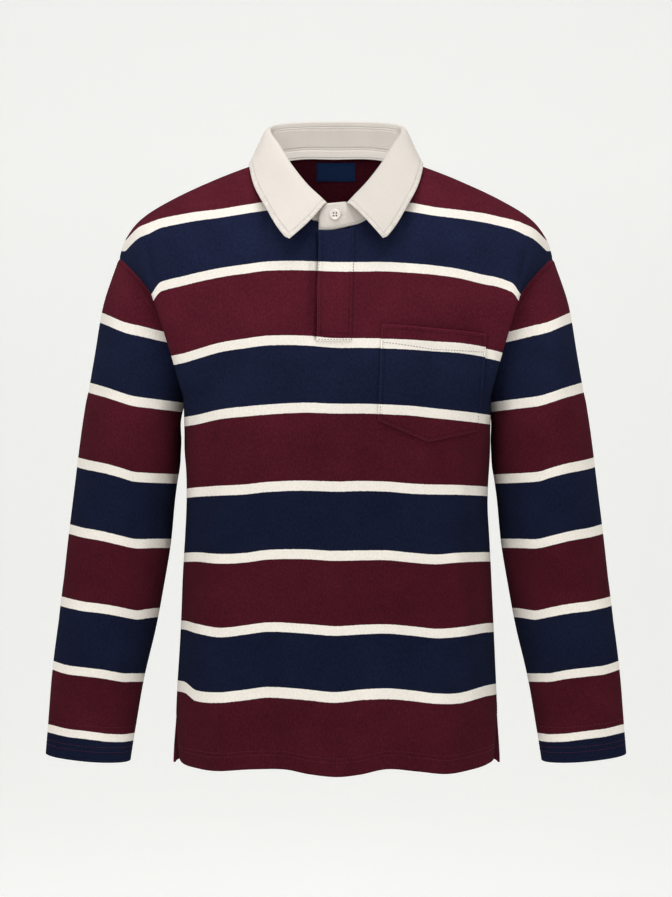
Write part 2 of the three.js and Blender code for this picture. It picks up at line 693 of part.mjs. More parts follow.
// Pieces that lie on the front: made from the front's own points, moved out or in
function patch(shape, across, down, lift) {
  const grid = [];
  for (let r = 0; r <= down; r += 1) {
    const row = [];
    for (let c = 0; c <= across; c += 1) {
      const p = c / across;
      const q = r / down;
      const mix = (i) => THREE.MathUtils.lerp(
        THREE.MathUtils.lerp(shape.topLeft[i], shape.topRight[i], p),
        THREE.MathUtils.lerp(shape.footLeft[i], shape.footRight[i], p),
        q,
      );
      const point = (shape.pointDrop ?? 0) * (1 - Math.abs(2 * p - 1)) * q;
      row.push(pointOnBody(-1, mix(0), mix(1) - point, lift));
    }
    grid.push(row);
  }
  return clothWall({ grid, thickness: jersey, facing: -1 });
}
addPiece('pocket', patch(pocketShape, 10, 9, layerGap + jersey), navy);
addPiece('placket_top', patch(placketShape, 4, 10, layerGap + jersey), maroon);
addPiece('placket_under', patch(underPlacketShape, 4, 10, -jersey - layerGap), navy);

// Tape over the back neck seam and a plain label below it, inside the back
function insideBack(piece, heightAt, columns, rows) {
  const grid = [];
  for (let r = 0; r <= rows; r += 1) {
    const row = [];
    for (let c = 0; c <= columns; c += 1) {
      const x = THREE.MathUtils.lerp(-piece.halfWidth, piece.halfWidth, c / columns);
      row.push(pointOnBody(1, x, heightAt(x, r / rows), -jersey - piece.lift));
    }
    grid.push(row);
  }
  return clothWall({ grid, thickness: piece.thickness, facing: 1 });
}

const tapeHeight = (x, q) => onNeckline(1, Math.abs(x)).z - tape.drop - q * tape.height;
addPiece('neck_tape', insideBack(tape, tapeHeight, 14, 2), cream);
const labelHeight = (x, q) => THREE.MathUtils.lerp(label.top, label.foot, q);
addPiece('neck_label', insideBack(label, labelHeight, 4, 3), navy);

// Button with four holes on the collar band
function collarButton() {
  const outline = new THREE.Shape().absarc(0, 0, button.radius, 0, Math.PI * 2);
  for (const [x, y] of [[1, 1], [-1, 1], [-1, -1], [1, -1]]) {
    const hole = new THREE.Path();
    hole.absarc(x * buttonHole.spread, y * buttonHole.spread, buttonHole.radius, 0, Math.PI * 2, true);
    outline.holes.push(hole);
  }
  const geometry = new THREE.ExtrudeGeometry(outline, {
    depth: button.thickness,
    bevelEnabled: false,
    curveSegments: 14,
  });
  geometry.rotateX(Math.PI / 2);
  geometry.translate(button.x, button.backY, button.z);
  return geometry;
}
addPiece('collar_button', collarButton(), buttonCream, 0.4);

export default shirt;
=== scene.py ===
import math

import bpy
import numpy as np
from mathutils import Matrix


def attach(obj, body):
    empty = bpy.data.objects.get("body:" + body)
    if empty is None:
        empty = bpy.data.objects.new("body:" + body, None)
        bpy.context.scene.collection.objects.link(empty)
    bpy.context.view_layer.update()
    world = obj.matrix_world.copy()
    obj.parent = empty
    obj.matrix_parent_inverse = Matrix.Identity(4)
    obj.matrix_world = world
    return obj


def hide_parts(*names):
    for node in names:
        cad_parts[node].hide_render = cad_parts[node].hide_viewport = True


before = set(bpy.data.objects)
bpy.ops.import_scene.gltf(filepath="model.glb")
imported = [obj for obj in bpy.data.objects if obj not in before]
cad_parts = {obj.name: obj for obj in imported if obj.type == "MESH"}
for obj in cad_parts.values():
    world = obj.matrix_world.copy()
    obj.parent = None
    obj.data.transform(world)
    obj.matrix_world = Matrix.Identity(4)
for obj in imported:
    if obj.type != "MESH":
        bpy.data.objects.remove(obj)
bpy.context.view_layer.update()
metre = 0.001


def table(names, *rows):
    return {name: np.array([row[i] for row in rows], float) for i, name in enumerate(names.split())}


# Sizes in millimetres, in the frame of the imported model
jersey = {"thickness": 1.5, "seamRoll": 1.3, "seamReach": 4.5}
jersey |= {"hem": 1.2, "hemWidth": 20, "cuffWidth": 22, "hemEdge": 3}
twill = {"thickness": 1.9}
levels = {"underarm": -290, "vent": -666, "placketFoot": -219}
slotHalfWidth = 17
roundness = {"body": 2.7, "sleeve": 2.15}
armCrowding = 1.2
armReach = 0.45
shoulderTip = {"out": 2.6, "down": 4, "share": 0.12, "dropFrom": 0.12, "dropTo": 0.45}
ventSpread = {"frontIn": 7, "frontForward": 7, "backOut": 3, "backRearward": 7}
view = {"distance": 2800, "height": -352, "pictureHeight": 1094}

# The garment's form, in tables named as those of the solids
collarSections = table(
    "seamX seamY seamZ foldX foldY foldZ edgeX edgeY edgeZ",
    (0, 60, 20, 0, 60, 55, 0, 86, 6),
    (42, 53, 19, 42, 56, 54, 52, 78, 5),
    (70, 32, 12, 76, 37, 48, 88, 50, 2),
    (82, 3, 1, 79.5, 12, 36, 105, 13, -1),
    (79, -20, -17, 68, -8, 16, 105, -15, -12),
    (67, -44, -43, 53.5, -33, -10, 98, -42, -37),
    (51, -62, -65, 36.5, -55, -34, 84, -70, -64),
    (32, -74, -82, 21.5, -71, -51, 70, -91, -89),
    (12, -80, -89, 12.5, -80, -61, 57, -105, -106),
)
shoulderSeam = table(
    "x y z",
    (82, 3, 1),
    (106, 0, -7),
    (149, 1, -24),
    (202, 3, -49),
    (238, 4, -72),
    (257, 4, -96),
    (263, 4, -117),
)
frontColumns = table(
    "share yokeX yokeY yokeZ inX inY inZ",
    (0, 240, -71, -125, -7, -85, 45),
    (0.12, 243, -84, -97, 22, -45, 78),
    (0.25, 219, -82, -74, 34, -18, 100),
    (0.45, 155, -68, -50, 6, -6, 110),
    (0.6, 108, -63, -44, 0, -4, 110),
    (0.7, 78, -67, -60, 0, -3, 102),
    (0.85, 39, -84, -106, 0, -2, 84),
    (1, 0, -94, -138, 0, 0, 78),
)
backColumns = table(
    "share yokeX yokeY yokeZ inX inY inZ",
    (0, 244, 74, -125, -7, 82, 45),
    (0.12, 245, 82, -96, 2, 48, 78),
    (0.25, 217, 80, -72, 5, 16, 100),
    (0.45, 155, 70, -44, 0, 8, 112),
    (0.6, 108, 66, -26, 0, 6, 116),
    (0.7, 78, 70, -18, 0, 6, 118),
    (0.85, 39, 82, -14, 0, 6, 116),
    (1, 0, 88, -14, 0, 6, 114),
)
bodySections = table(
    "z halfWidth front back tuck",
    (-290, 194, 120, 118, 15),
    (-330, 190, 119, 114, 11.5),
    (-366, 187.5, 118, 111, 8),
    (-415, 185.5, 117, 108, 4.5),
    (-463, 186, 116, 108, 2),
    (-537, 188.5, 116, 111, 0),
    (-610, 192, 117, 115, 0),
    (-666, 194.5, 118, 118, 0),
    (-752, 196, 119, 120, 0),
)
# How far each side stands out from, or inside, the even outline
sideShift = table(
    "z left right",
    (-262, 0, 0),
    (-285, 2.4, 5),
    (-301, 5, 7.6),
    (-329, 5.5, 8.6),
    (-355, 4.4, 8.2),
    (-378, 0.8, 6.4),
    (-401, -1.2, 4.4),
    (-430, -1.8, 2.8),
    (-500, -1.6, 2.3),
    (-600, -1.4, 1.6),
    (-700, 0, 1.6),
    (-760, 0, 1.6),
)
frontHem = table(
    "x z",
    (-200, -724),
    (-185, -728),
    (-165, -730),
    (-138, -730.5),
    (-95, -727.5),
    (-60, -727),
    (-30, -732),
    (0, -734.5),
    (28, -732),
    (60, -726.5),
    (95, -730),
    (130, -733.5),
    (160, -731),
    (185, -727),
    (200, -725),
)
backHem = table(
    "x z",
    (-200, -734),
    (-150, -743),
    (-70, -749),
    (0, -751),
    (70, -748),
    (150, -744),
    (200, -734),
)
frontFolds = table(
    "startX startZ endX endZ width rise",
    (-118, -500, -143, -734, 30, 8),
    (4, -520, 9, -734, 36, 9),
    (112, -480, 134, -734, 30, 8),
    (-138, -400, -172, -640, 12, 3),
    (130, -400, 158, -600, 12, 3),
)
backFolds = table(
    "startX startZ endX endZ width rise",
    (-95, -430, -120, -751, 34, 9),
    (-16, -300, -22, -751, 30, 7),
    (62, -360, 70, -751, 28, 7),
    (128, -460, 146, -751, 24, 6),
)
sleeveSections = table(
    "outerX outerZ innerX innerZ middleY halfDepth frontDrop",
    (280.5, -171, 189, -318, -1, 65, 0),
    (293, -235, 188.8, -345, -1, 67, 0),
    (303.5, -297, 191, -376, -1, 66, 0),
    (313, -362, 195.5, -412, -2, 64, 0),
    (324, -450, 202.5, -474, -5, 60, 0),
    (335.5, -550, 219, -568, -11, 54, 0),
    (344.5, -636, 235.5, -649, -18, 45, 0),
    (350, -719, 247.5, -727.5, -26, 31, 3),
)
sleeveFolds = table(
    "startTurn startShare endTurn endShare width rise",
    (0.13, 0.02, 0.31, 0.66, 0.05, 3),
    (0.85, 0.04, 0.7, 0.7, 0.05, 2.6),
)
frontStripes = table(
    "x c1 c2 c3 c4 c5 c6 c7 c8 c9",
    (-257, -105, -190, -263.6, -341.6, -418.5, -490.5, -563.7, -634.4, -765),
    (-242, -89.7, -180.5, -256.2, -334.3, -414.8, -488, -563.7, -635.6, -765),
    (-227, -82.8, -172, -251, -329.5, -412.5, -487, -565, -637.5, -765),
    (-223, -81, -167, -250, -328.2, -411.9, -486.8, -565.3, -638.1, -765),
    (-218, -78.7, -158.8, -248.7, -326.8, -411.1, -486.4, -565.8, -639, -765),
    (-213, -77, -154.2, -247.7, -325.8, -410.6, -486.2, -566.1, -639.3, -765),
    (-185, -71.4, -147, -241.6, -319.7, -406.9, -485, -567.3, -641.8, -765),
    (-171, -69, -143.4, -237.3, -317.2, -405.1, -484.4, -571, -652.7, -765),
    (-142, -65.3, -137.3, -228.8, -310.5, -403.2, -486.8, -576.5, -655.2, -765),
    (-112, -60.4, -133, -223.9, -306.9, -402, -485.6, -573.4, -652.1, -765),
    (-83, -56.2, -129.3, -220.2, -304.4, -399, -481.9, -569.8, -648.5, -765),
    (-39, -53.7, -128.7, -220.2, -302, -397.1, -481.3, -571.6, -651.5, -765),
    (-2, -53.1, -130, -223.3, -303.2, -398.4, -483.1, -574.6, -655.2, -765),
    (34, -53.1, -130, -223.3, -303.2, -397.8, -482.5, -572.8, -651.5, -765),
    (63, -54.9, -130, -223.9, -304.4, -398.4, -482.5, -572.2, -650.3, -765),
    (93, -58, -131.8, -225.7, -306.2, -400.8, -485.6, -574.6, -652.7, -765),
    (122, -62.9, -134.2, -228.2, -309.3, -402, -487.4, -577.7, -656.4, -765),
    (151, -66.5, -138.5, -230.6, -312.4, -402.6, -485, -575.9, -655.8, -765),
    (181, -70.8, -145.8, -235.5, -316, -403.9, -484.4, -571, -647.2, -765),
    (195, -73.8, -148.3, -238.5, -318.4, -405.1, -484.4, -569.8, -644.2, -765),
    (213, -78, -154.6, -244, -323.3, -409.3, -485.6, -566.1, -639.3, -765),
    (218, -79.6, -158.8, -245.5, -324.5, -410, -486, -565.8, -639, -765),
    (223, -81.5, -167, -248, -327, -411.5, -486.6, -565.3, -638, -765),
    (227, -83.5, -172, -249.5, -328.5, -412.5, -487, -565, -637.5, -765),
    (242, -90.9, -180.5, -253.8, -331.9, -414.8, -488, -563.7, -635.6, -765),
    (257, -105, -190, -263.6, -341.6, -418.5, -490.5, -563.7, -634.4, -765),
)
sleeveStripes = table(
    "x c1 c2 c3 c4 c5 c6 c7",
    (361, -166, -253.8, -351.4, -439.2, -529.5, -612.5, -691.2),
    (349, -170.8, -258.7, -356.3, -442.9, -533.8, -615.5, -693.6),
    (329, -177.5, -267.8, -363.6, -449, -539.9, -622.2, -698.5),
    (310, -184.2, -275.1, -370.3, -454.5, -544.1, -624.7, -700.9),
    (290, -191, -281.2, -374.6, -458.1, -546.6, -627.1, -703.4),
    (281, -194.6, -283.7, -376.4, -460, -547.8, -628.3, -704.6),
    (261, -203.2, -290.4, -381.9, -464.9, -551.5, -632, -705.2),
    (250, -206.5, -293.8, -385.6, -467.5, -554, -632, -704),
    (242, -208, -295.3, -386.8, -468.5, -555.1, -632, -702.5),
    (222, -212.9, -297.7, -388, -467.9, -552.1, -631.4, -702),
    (203, -217.2, -300.1, -388.6, -467.9, -551.5, -630.8, -704),
    (183, -220.8, -302.6, -389.2, -468.5, -551.5, -630.8, -704),
)

# The back's stripes, by the distance from its middle
backStripes = table(
    "x c1 c2 c3 c4 c5 c6 c7 c8 c9",
    (0, -62, -138, -229, -307, -398, -479, -570, -656, -762),
    (100, -65, -139, -231, -309, -400, -480, -571, -656, -762),
    (150, -69, -143, -236, -314, -403, -482, -571, -652, -760),
    (190, -73, -148, -242, -320, -407, -485, -568, -643, -758),
    (215, -78, -155, -248, -326, -410, -486, -566, -639, -758),
    (242, -90, -166, -256, -334, -415, -488, -564, -635, -758),
    (262, -108, -176, -264, -342, -418, -490, -564, -634, -758),
)
stripe = {"navy": 78, "maroon": 89, "creamHalf": 5.7, "capLimit": 78}


def hermite(keys, values, at):
    if keys[0] > keys[-1]:
        keys, values = keys[::-1], values[::-1]
    count = len(keys)
    before = np.maximum(np.arange(count) - 1, 0)
    after = np.minimum(np.arange(count) + 1, count - 1)
    slopes = (values[after] - values[before]) / (keys[after] - keys[before])
    low = np.clip(np.searchsorted(keys, at, side="right") - 1, 0, count - 2)
    span = keys[low + 1] - keys[low]
    t = np.clip((at - keys[low]) / span, 0, 1)
    square = t * t
    cube = square * t
    return (
        values[low] * (2 * cube - 3 * square + 1)
        + values[low + 1] * (3 * square - 2 * cube)
        + slopes[low] * span * (cube - 2 * square + t)
        + slopes[low + 1] * span * (cube - square)
    )


def readTable(rows, key, at, column):
    return hermite(rows[key], rows[column], at)


def smoothStep(value, low, high):
    t = np.clip((value - low) / (high - low), 0, 1)
    return t * t * (3 - 2 * t)


def vectors(*parts):
    return np.stack(np.broadcast_arrays(*parts), axis=-1).astype(float)


def unit(values):
    return values / np.maximum(np.linalg.norm(values, axis=-1, keepdims=True), 1e-9)


def pathThrough(points):
    steps = np.linalg.norm(np.diff(points, axis=0), axis=1)
    at = np.concatenate([[0], np.cumsum(steps)]) / steps.sum()
    return lambda share: vectors(*[hermite(at, points[:, i], share) for i in range(3)])


def bezier(a, b, c, d, t):
    s = 1 - t
    return a * s**3 + 3 * b * s * s * t + 3 * c * s * t * t + d * t**3


# A point on a quarter of a rounded section, by its share of the length from the side to the middle
def quarterSection(halfWidth, depth, share):
    angles = np.linspace(0, math.pi / 2, 49)
    power = 2 / roundness["body"]
    x = halfWidth[..., None] * np.abs(np.cos(angles)) ** power
    y = depth[..., None] * np.abs(np.sin(angles)) ** power
    steps = np.hypot(np.diff(x), np.diff(y))
    lengths = np.concatenate([np.zeros_like(steps[..., :1]), np.cumsum(steps, axis=-1)], axis=-1)
    target = (share * lengths[..., -1])[..., None]
    low = np.clip(np.sum(lengths <= target, axis=-1, keepdims=True) - 1, 0, 47)

    def pick(values, index):
        return np.take_along_axis(values, index, axis=-1)

    t = (target - pick(lengths, low)) / (pick(lengths, low + 1) - pick(lengths, low))
    placeX = pick(x, low) * (1 - t) + pick(x, low + 1) * t
    placeY = pick(y, low) * (1 - t) + pick(y, low + 1) * t
    return placeX[..., 0], placeY[..., 0], lengths[..., -1]


def namedPoints(rows, name=""):
    keys = [f"{name}{axis}" if name else axis.lower() for axis in "XYZ"]
    return np.stack([rows[key] for key in keys], axis=-1)


sideRow = 3
seamPoints = namedPoints(collarSections, "seam")
frontMiddle = np.array([[0.0, -81.0, -90.0]])
necklines = {
    -1: pathThrough(np.concatenate([seamPoints[sideRow:], frontMiddle])),
    1: pathThrough(seamPoints[: sideRow + 1][::-1]),
}
shoulderLine = pathThrough(namedPoints(shoulderSeam))
frontHalfLength = float(
    quarterSection(
        np.array([bodySections["halfWidth"][0]]), np.array([bodySections["front"][0]]), np.array([1.0])
    )[2][0]
)
neckHalfWidth = collarSections["seamX"][sideRow]
neckShare = 1 - neckHalfWidth / frontHalfLength
slotShare = 1 - slotHalfWidth / frontHalfLength


def onNeckline(face, x):
    line = necklines[face](np.linspace(0, 1, 600))
    order = np.argsort(line[:, 0])
    return vectors(*[np.interp(x, line[order, 0], line[order, i]) for i in range(3)])


def topEdge(face, share):
    onShoulder = shoulderLine(1 - np.clip(share / neckShare, 0, 1))
    onNeck = onNeckline(face, neckHalfWidth * (1 - share) / (1 - neckShare))
    return np.where((share < neckShare)[..., None], onShoulder, onNeck)


def foldRise(folds, x, z):
    rise = np.zeros_like(x)
    for i in range(len(folds["rise"])):
        along = (z - folds["startZ"][i]) / (folds["endZ"][i] - folds["startZ"][i])
        middle = folds["startX"][i] + along * (folds["endX"][i] - folds["startX"][i])
        across = (x - middle) / folds["width"][i]
        rise += folds["rise"][i] * smoothStep(along, 0, 0.9) * np.exp(-across * across)
    return rise


def bodySection(face, share, z):
    halfWidth = readTable(bodySections, "z", z, "halfWidth")
    depth = readTable(bodySections, "z", z, "front" if face < 0 else "back")
    tuck = readTable(bodySections, "z", z, "tuck")
    besideArm = np.maximum(1 - share / armReach, 0)
    x, y, _ = quarterSection(halfWidth, depth, share + armCrowding * share * besideArm**2)
    return vectors(x - tuck * (1 - smoothStep(share, 0, 0.2)), face * y, z)


# A point of the body's cloth: share runs from the side to the middle, and drop from the top edge
# through 1 at the underarm level to 2 at the hem
def bodyPoints(face, side, share, drop):
    share, drop, side = np.broadcast_arrays(share, drop, side)
    columns = frontColumns if face < 0 else backColumns
    read = {key: readTable(columns, "share", share, key) for key in columns if key != "share"}
    end = bodySection(face, share, np.full(share.shape, float(levels["underarm"])))
    leave = vectors(read["yokeX"], read["yokeY"], read["yokeZ"])
    arrive = end + vectors(read["inX"], read["inY"], read["inZ"])
    upper = bezier(topEdge(face, share), leave, arrive, end, np.clip(drop, 0, 1)[..., None])
    ventX = bodySection(face, share, np.full(share.shape, float(levels["vent"])))[..., 0]
    hemZ = readTable(frontHem if face < 0 else backHem, "x", side * ventX, "z")
    height = levels["underarm"] + (hemZ - levels["underarm"]) * np.clip(drop - 1, 0, 1)
    lower = bodySection(face, share, height)
    points = np.where((drop < 1)[..., None], upper, lower)
    folds = frontFolds if face < 0 else backFolds
    rise = smoothStep(share, 0.05, 0.4) * foldRise(folds, side * points[..., 0], points[..., 2])
    opened = smoothStep(-points[..., 2], -levels["vent"], 70 - levels["vent"])
    beside = (1 - smoothStep(share, 0, 0.3)) * opened
    outward = -ventSpread["frontIn"] if face < 0 else ventSpread["backOut"]
    away = ventSpread["frontForward"] if face < 0 else ventSpread["backRearward"]
    left, right = (readTable(sideShift, "z", points[..., 2], name) for name in ("left", "right"))
    shift = np.where(side < 0, left, right) * (1 - smoothStep(share, 0, 0.16))
    tip = 1 - smoothStep(share, 0, shoulderTip["share"])
    tip = tip * (1 - smoothStep(drop, shoulderTip["dropFrom"], shoulderTip["dropTo"]))
    x = (points[..., 0] + beside * outward + shift + shoulderTip["out"] * tip) * side
    y = points[..., 1] + face * (rise + beside * away)
    return vectors(x, y, points[..., 2] - shoulderTip["down"] * tip)


def bodyNormals(face, side, share, drop):
    step = 0.004
    wide = bodyPoints(face, side, np.minimum(share + step, 1), drop)
    narrow = bodyPoints(face, side, np.maximum(share - step, 0), drop)
    low = bodyPoints(face, side, share, np.minimum(drop + step, 2))
    high = bodyPoints(face, side, share, np.maximum(drop - step, 0))
    return unit(np.cross(wide - narrow, low - high)) * (-face * side)[..., None]


# Share and drop of the place of the cloth that lies at x, z on the front or the back
def bodyPlace(face, x, z):
    side = np.where(x < 0, -1.0, 1.0)
    share = np.clip(1 - np.abs(x) / frontHalfLength, 0.02, 1)
    drop = np.where(z > levels["underarm"], np.clip(z / levels["underarm"], 0.02, 0.98), 1.5)
    step = 0.01
    for _ in range(14):
        here = bodyPoints(face, side, share, drop)
        wide = (bodyPoints(face, side, share - step, drop) - here) / -step
        low = (bodyPoints(face, side, share, drop + step) - here) / step
        missX = x - here[..., 0]
        missZ = z - here[..., 2]
        det = wide[..., 0] * low[..., 2] - low[..., 0] * wide[..., 2]
        share = np.clip(share + (low[..., 2] * missX - low[..., 0] * missZ) / det, 0.02, 1)
        drop = np.clip(drop + (wide[..., 0] * missZ - wide[..., 2] * missX) / det, 0, 2)
    return side, share, drop


# Soft creases, listed by the places of their start, middle and end as seen from the front.
# edge is how much steeper one side is.
frontCreases = table(
    "x1 z1 x2 z2 x3 z3 width rise edge",
    (-116, -318, -134, -430, -168, -628, 17, 3.2, 0),
    (-160, -300, -165, -385, -172, -470, 10, 2.2, 0),
    (-151, -258, -143, -290, -140, -330, 12, 1.2, 0),
    (128, -412, 140, -480, 152, -565, 15, 2.8, 0),
    (140, -325, 146, -400, 150, -440, 11, 1.8, 0),
    (-52, -560, -44, -640, -40, -734, 20, 2.4, 0),
    (46, -600, 44, -660, 42, -734, 18, 2.2, 0),
    (-88, -600, -92, -660, -94, -734, 16, -2.4, 0),
    (94, -610, 92, -670, 90, -734, 16, -2.2, 0),
    (-229, -108, -223, -135, -215, -166, 8, -3, 0.5),
    (229, -108, 223, -135, 215, -166, 8, -3, 0.5),
    (-196, -180, -186, -235, -177, -320, 8, 1.6, 0),
    (-27, -108, -27, -170, -28, -222, 4.5, -2.6, 0),
    (-180, -655, -180, -695, -181, -728, 8, 2, 0),
    (180, -655, 180, -695, 181, -728, 8, 2, 0),
    (196, -180, 186, -235, 177, -320, 8, 1.6, 0),
    (-100, -60, -150, -110, -196, -170, 18, 1.4, 0),
    (100, -60, 150, -110, 196, -170, 18, 1.4, 0),
    (-70, -300, -76, -400, -86, -520, 22, 1.2, 0),
    (66, -330, 72, -430, 84, -560, 22, 1.2, 0),
    (-20, -260, -18, -340, -26, -470, 24, 1, 0),
)
backCreases = table(
    "x1 z1 x2 z2 x3 z3 width rise edge",
    (-180, -330, -160, -430, -150, -560, 15, 2.8, 0),
    (178, -340, 158, -440, 150, -580, 15, 2.8, 0),
    (-205, -160, -176, -240, -150, -330, 12, 2.4, 0),
    (205, -160, 176, -240, 150, -330, 12, 2.4, 0),
    (-60, -120, -66, -220, -74, -340, 22, 1.6, 0),
    (54, -120, 62, -230, 74, -360, 22, 1.6, 0),
    (-90, -480, -96, -600, -104, -740, 15, 2.2, 0),
    (30, -460, 36, -600, 40, -745, 18, 2.2, 0),
    (98, -520, 104, -640, 108, -745, 14, 2, 0),
    (-46, -520, -50, -640, -54, -745, 16, -2.4, 0),
    (-120, -50, -150, -80, -190, -150, 16, 1.6, 0),
    (120, -50, 150, -80, 190, -150, 16, 1.6, 0),
)
# On a sleeve: by turn round it (0 on top, 0.25 at the front) and share of its length
sleeveCreases = table(
    "x1 z1 x2 z2 x3 z3 width rise edge",
    (0.16, 0.02, 0.2, 0.3, 0.26, 0.68, 0.04, 1.3, 0),
    (0.36, 0.16, 0.33, 0.36, 0.34, 0.6, 0.03, 1.5, 0),
    (0.42, 0.02, 0.36, 0.1, 0.32, 0.22, 0.026, 1.6, 0),
    (0.24, 0.56, 0.3, 0.68, 0.33, 0.86, 0.03, 1.2, 0),
    (0.86, 0.03, 0.8, 0.3, 0.72, 0.7, 0.036, 1.8, 0),
    (0.6, 0.03, 0.66, 0.16, 0.68, 0.34, 0.03, 2, 0),
    (0.62, 0.44, 0.7, 0.5, 0.8, 0.53, 0.024, 1.6, 0),
    (0.6, 0.52, 0.68, 0.57, 0.78, 0.6, 0.022, 1.4, 0),
    (0.98, 0.1, 0.02, 0.3, 0.05, 0.55, 0.03, 1.2, 0),
)


def creaseRise(creases, x, z, stretch=1.0):
    rise = np.zeros_like(x)
    for i in range(len(creases["rise"])):
        corners = [(creases[f"x{k}"][i], creases[f"z{k}"][i] * stretch) for k in (1, 2, 3)]
        nearest = np.full(x.shape, 1e9)
        along = np.zeros_like(x)
        across = np.zeros_like(x)
        for k in range(2):
            (ax, az), (bx, bz) = corners[k], corners[k + 1]
            dx, dz = bx - ax, bz - az
            length = math.hypot(dx, dz)
            t = ((x - ax) * dx + (z * stretch - az) * dz) / length**2
            held = np.clip(t, 0, 1)
            offX = x - (ax + held * dx)
            offZ = z * stretch - (az + held * dz)
            away = np.hypot(offX, offZ)
            closer = away < nearest
            nearest = np.where(closer, away, nearest)
            along = np.where(closer, (k + held) / 2, along)
            across = np.where(closer, offX * dz - offZ * dx, across)
        width = creases["width"][i] * np.where(across > 0, 1 - creases["edge"][i], 1)
        fade = np.sin(np.clip(along, 0.04, 0.96) * math.pi) ** 0.7
        rise += creases["rise"][i] * fade * np.exp(-((nearest / width) ** 2))
    return rise


# Long low waves over all the jersey, each with its rise, its turn a millimetre on x and z, and its start
waves = (
    (0.45, 0.061, 0.013, 0.4),
    (0.4, -0.043, 0.021, 1.9),
    (0.22, 0.094, -0.017, 3.1),
    (0.35, 0.029, 0.047, 5.2),
    (0.16, -0.121, 0.031, 0.9),
)


def ripple(x, z):
    return sum(rise * np.sin(a * x + b * z + start) for rise, a, b, start in waves)


# Places as the camera sees them, on the plane through the origin
def seenPlace(x, y, z):
    scale = 1 + y / view["distance"]
    return x / scale, view["height"] + (z - view["height"]) / scale


# How far down the stripes' repeat a place is, from the charts of where the cream stripes run
def stripePlace(chart, x, z):
    count = len(chart) - 1
    lines = np.stack([hermite(chart["x"], chart[f"c{i + 1}"], x) for i in range(count)], axis=-1)
    steps = [0.0]
    for i in range(1, count):
        steps.append(steps[-1] + (stripe["navy"] if i % 2 else stripe["maroon"]))
    steps = np.array(steps)
    low = np.clip(np.sum(lines > z[..., None], axis=-1) - 1, 0, count - 2)
    upper = np.take_along_axis(lines, low[..., None], axis=-1)[..., 0]
    lower = np.take_along_axis(lines, low[..., None] + 1, axis=-1)[..., 0]
    t = (upper - z) / (upper - lower)
    last = steps[-1] + stripe["creamHalf"] * 0.55 if count == 9 else 1e9
    return np.clip(steps[low] + t * (steps[low + 1] - steps[low]), -stripe["capLimit"], last)


def bodyStripes(face, points):
    x, y, z = points[..., 0], points[..., 1], points[..., 2]
    if face > 0:
        return stripePlace(backStripes, np.abs(x), z)
    seenX, seenZ = seenPlace(x, np.minimum(y, 0), z)
    return stripePlace(frontStripes, seenX, seenZ)


# The length along a grid's columns or rows, from its first point to each
def runningLength(grid, axis=0):
    steps = np.linalg.norm(np.diff(grid, axis=axis), axis=-1)
    return np.concatenate([np.zeros_like(steps.take([0], axis)), np.cumsum(steps, axis=axis)], axis=axis)


def gridNormals(grid, facing, closed=False):
    if closed:
        across = np.roll(grid, -1, axis=1) - np.roll(grid, 1, axis=1)
    else:
        across = np.gradient(grid, axis=1)
    down = np.gradient(grid, axis=0)
    return unit(np.cross(across, down)) * facing


def formOf(grid, facing, closed=False, **fields):
    return {"grid": grid, "normals": gridNormals(grid, facing, closed), **fields}


def makeMesh(name, points, faces, attributes=None):
    mesh = bpy.data.meshes.new(name)
    mesh.from_pydata((np.asarray(points) * metre).tolist(), [], [list(map(int, face)) for face in faces])
    mesh.validate()
    for key, values in (attributes or {}).items():
        layer = mesh.attributes.new(key, "FLOAT_VECTOR", "POINT")
        layer.data.foreach_set("vector", np.asarray(values, np.float32).ravel())
    mesh.polygons.foreach_set("use_smooth", [True] * len(mesh.polygons))
    piece = bpy.data.objects.new(name, mesh)
    bpy.context.scene.collection.objects.link(piece)
    return piece
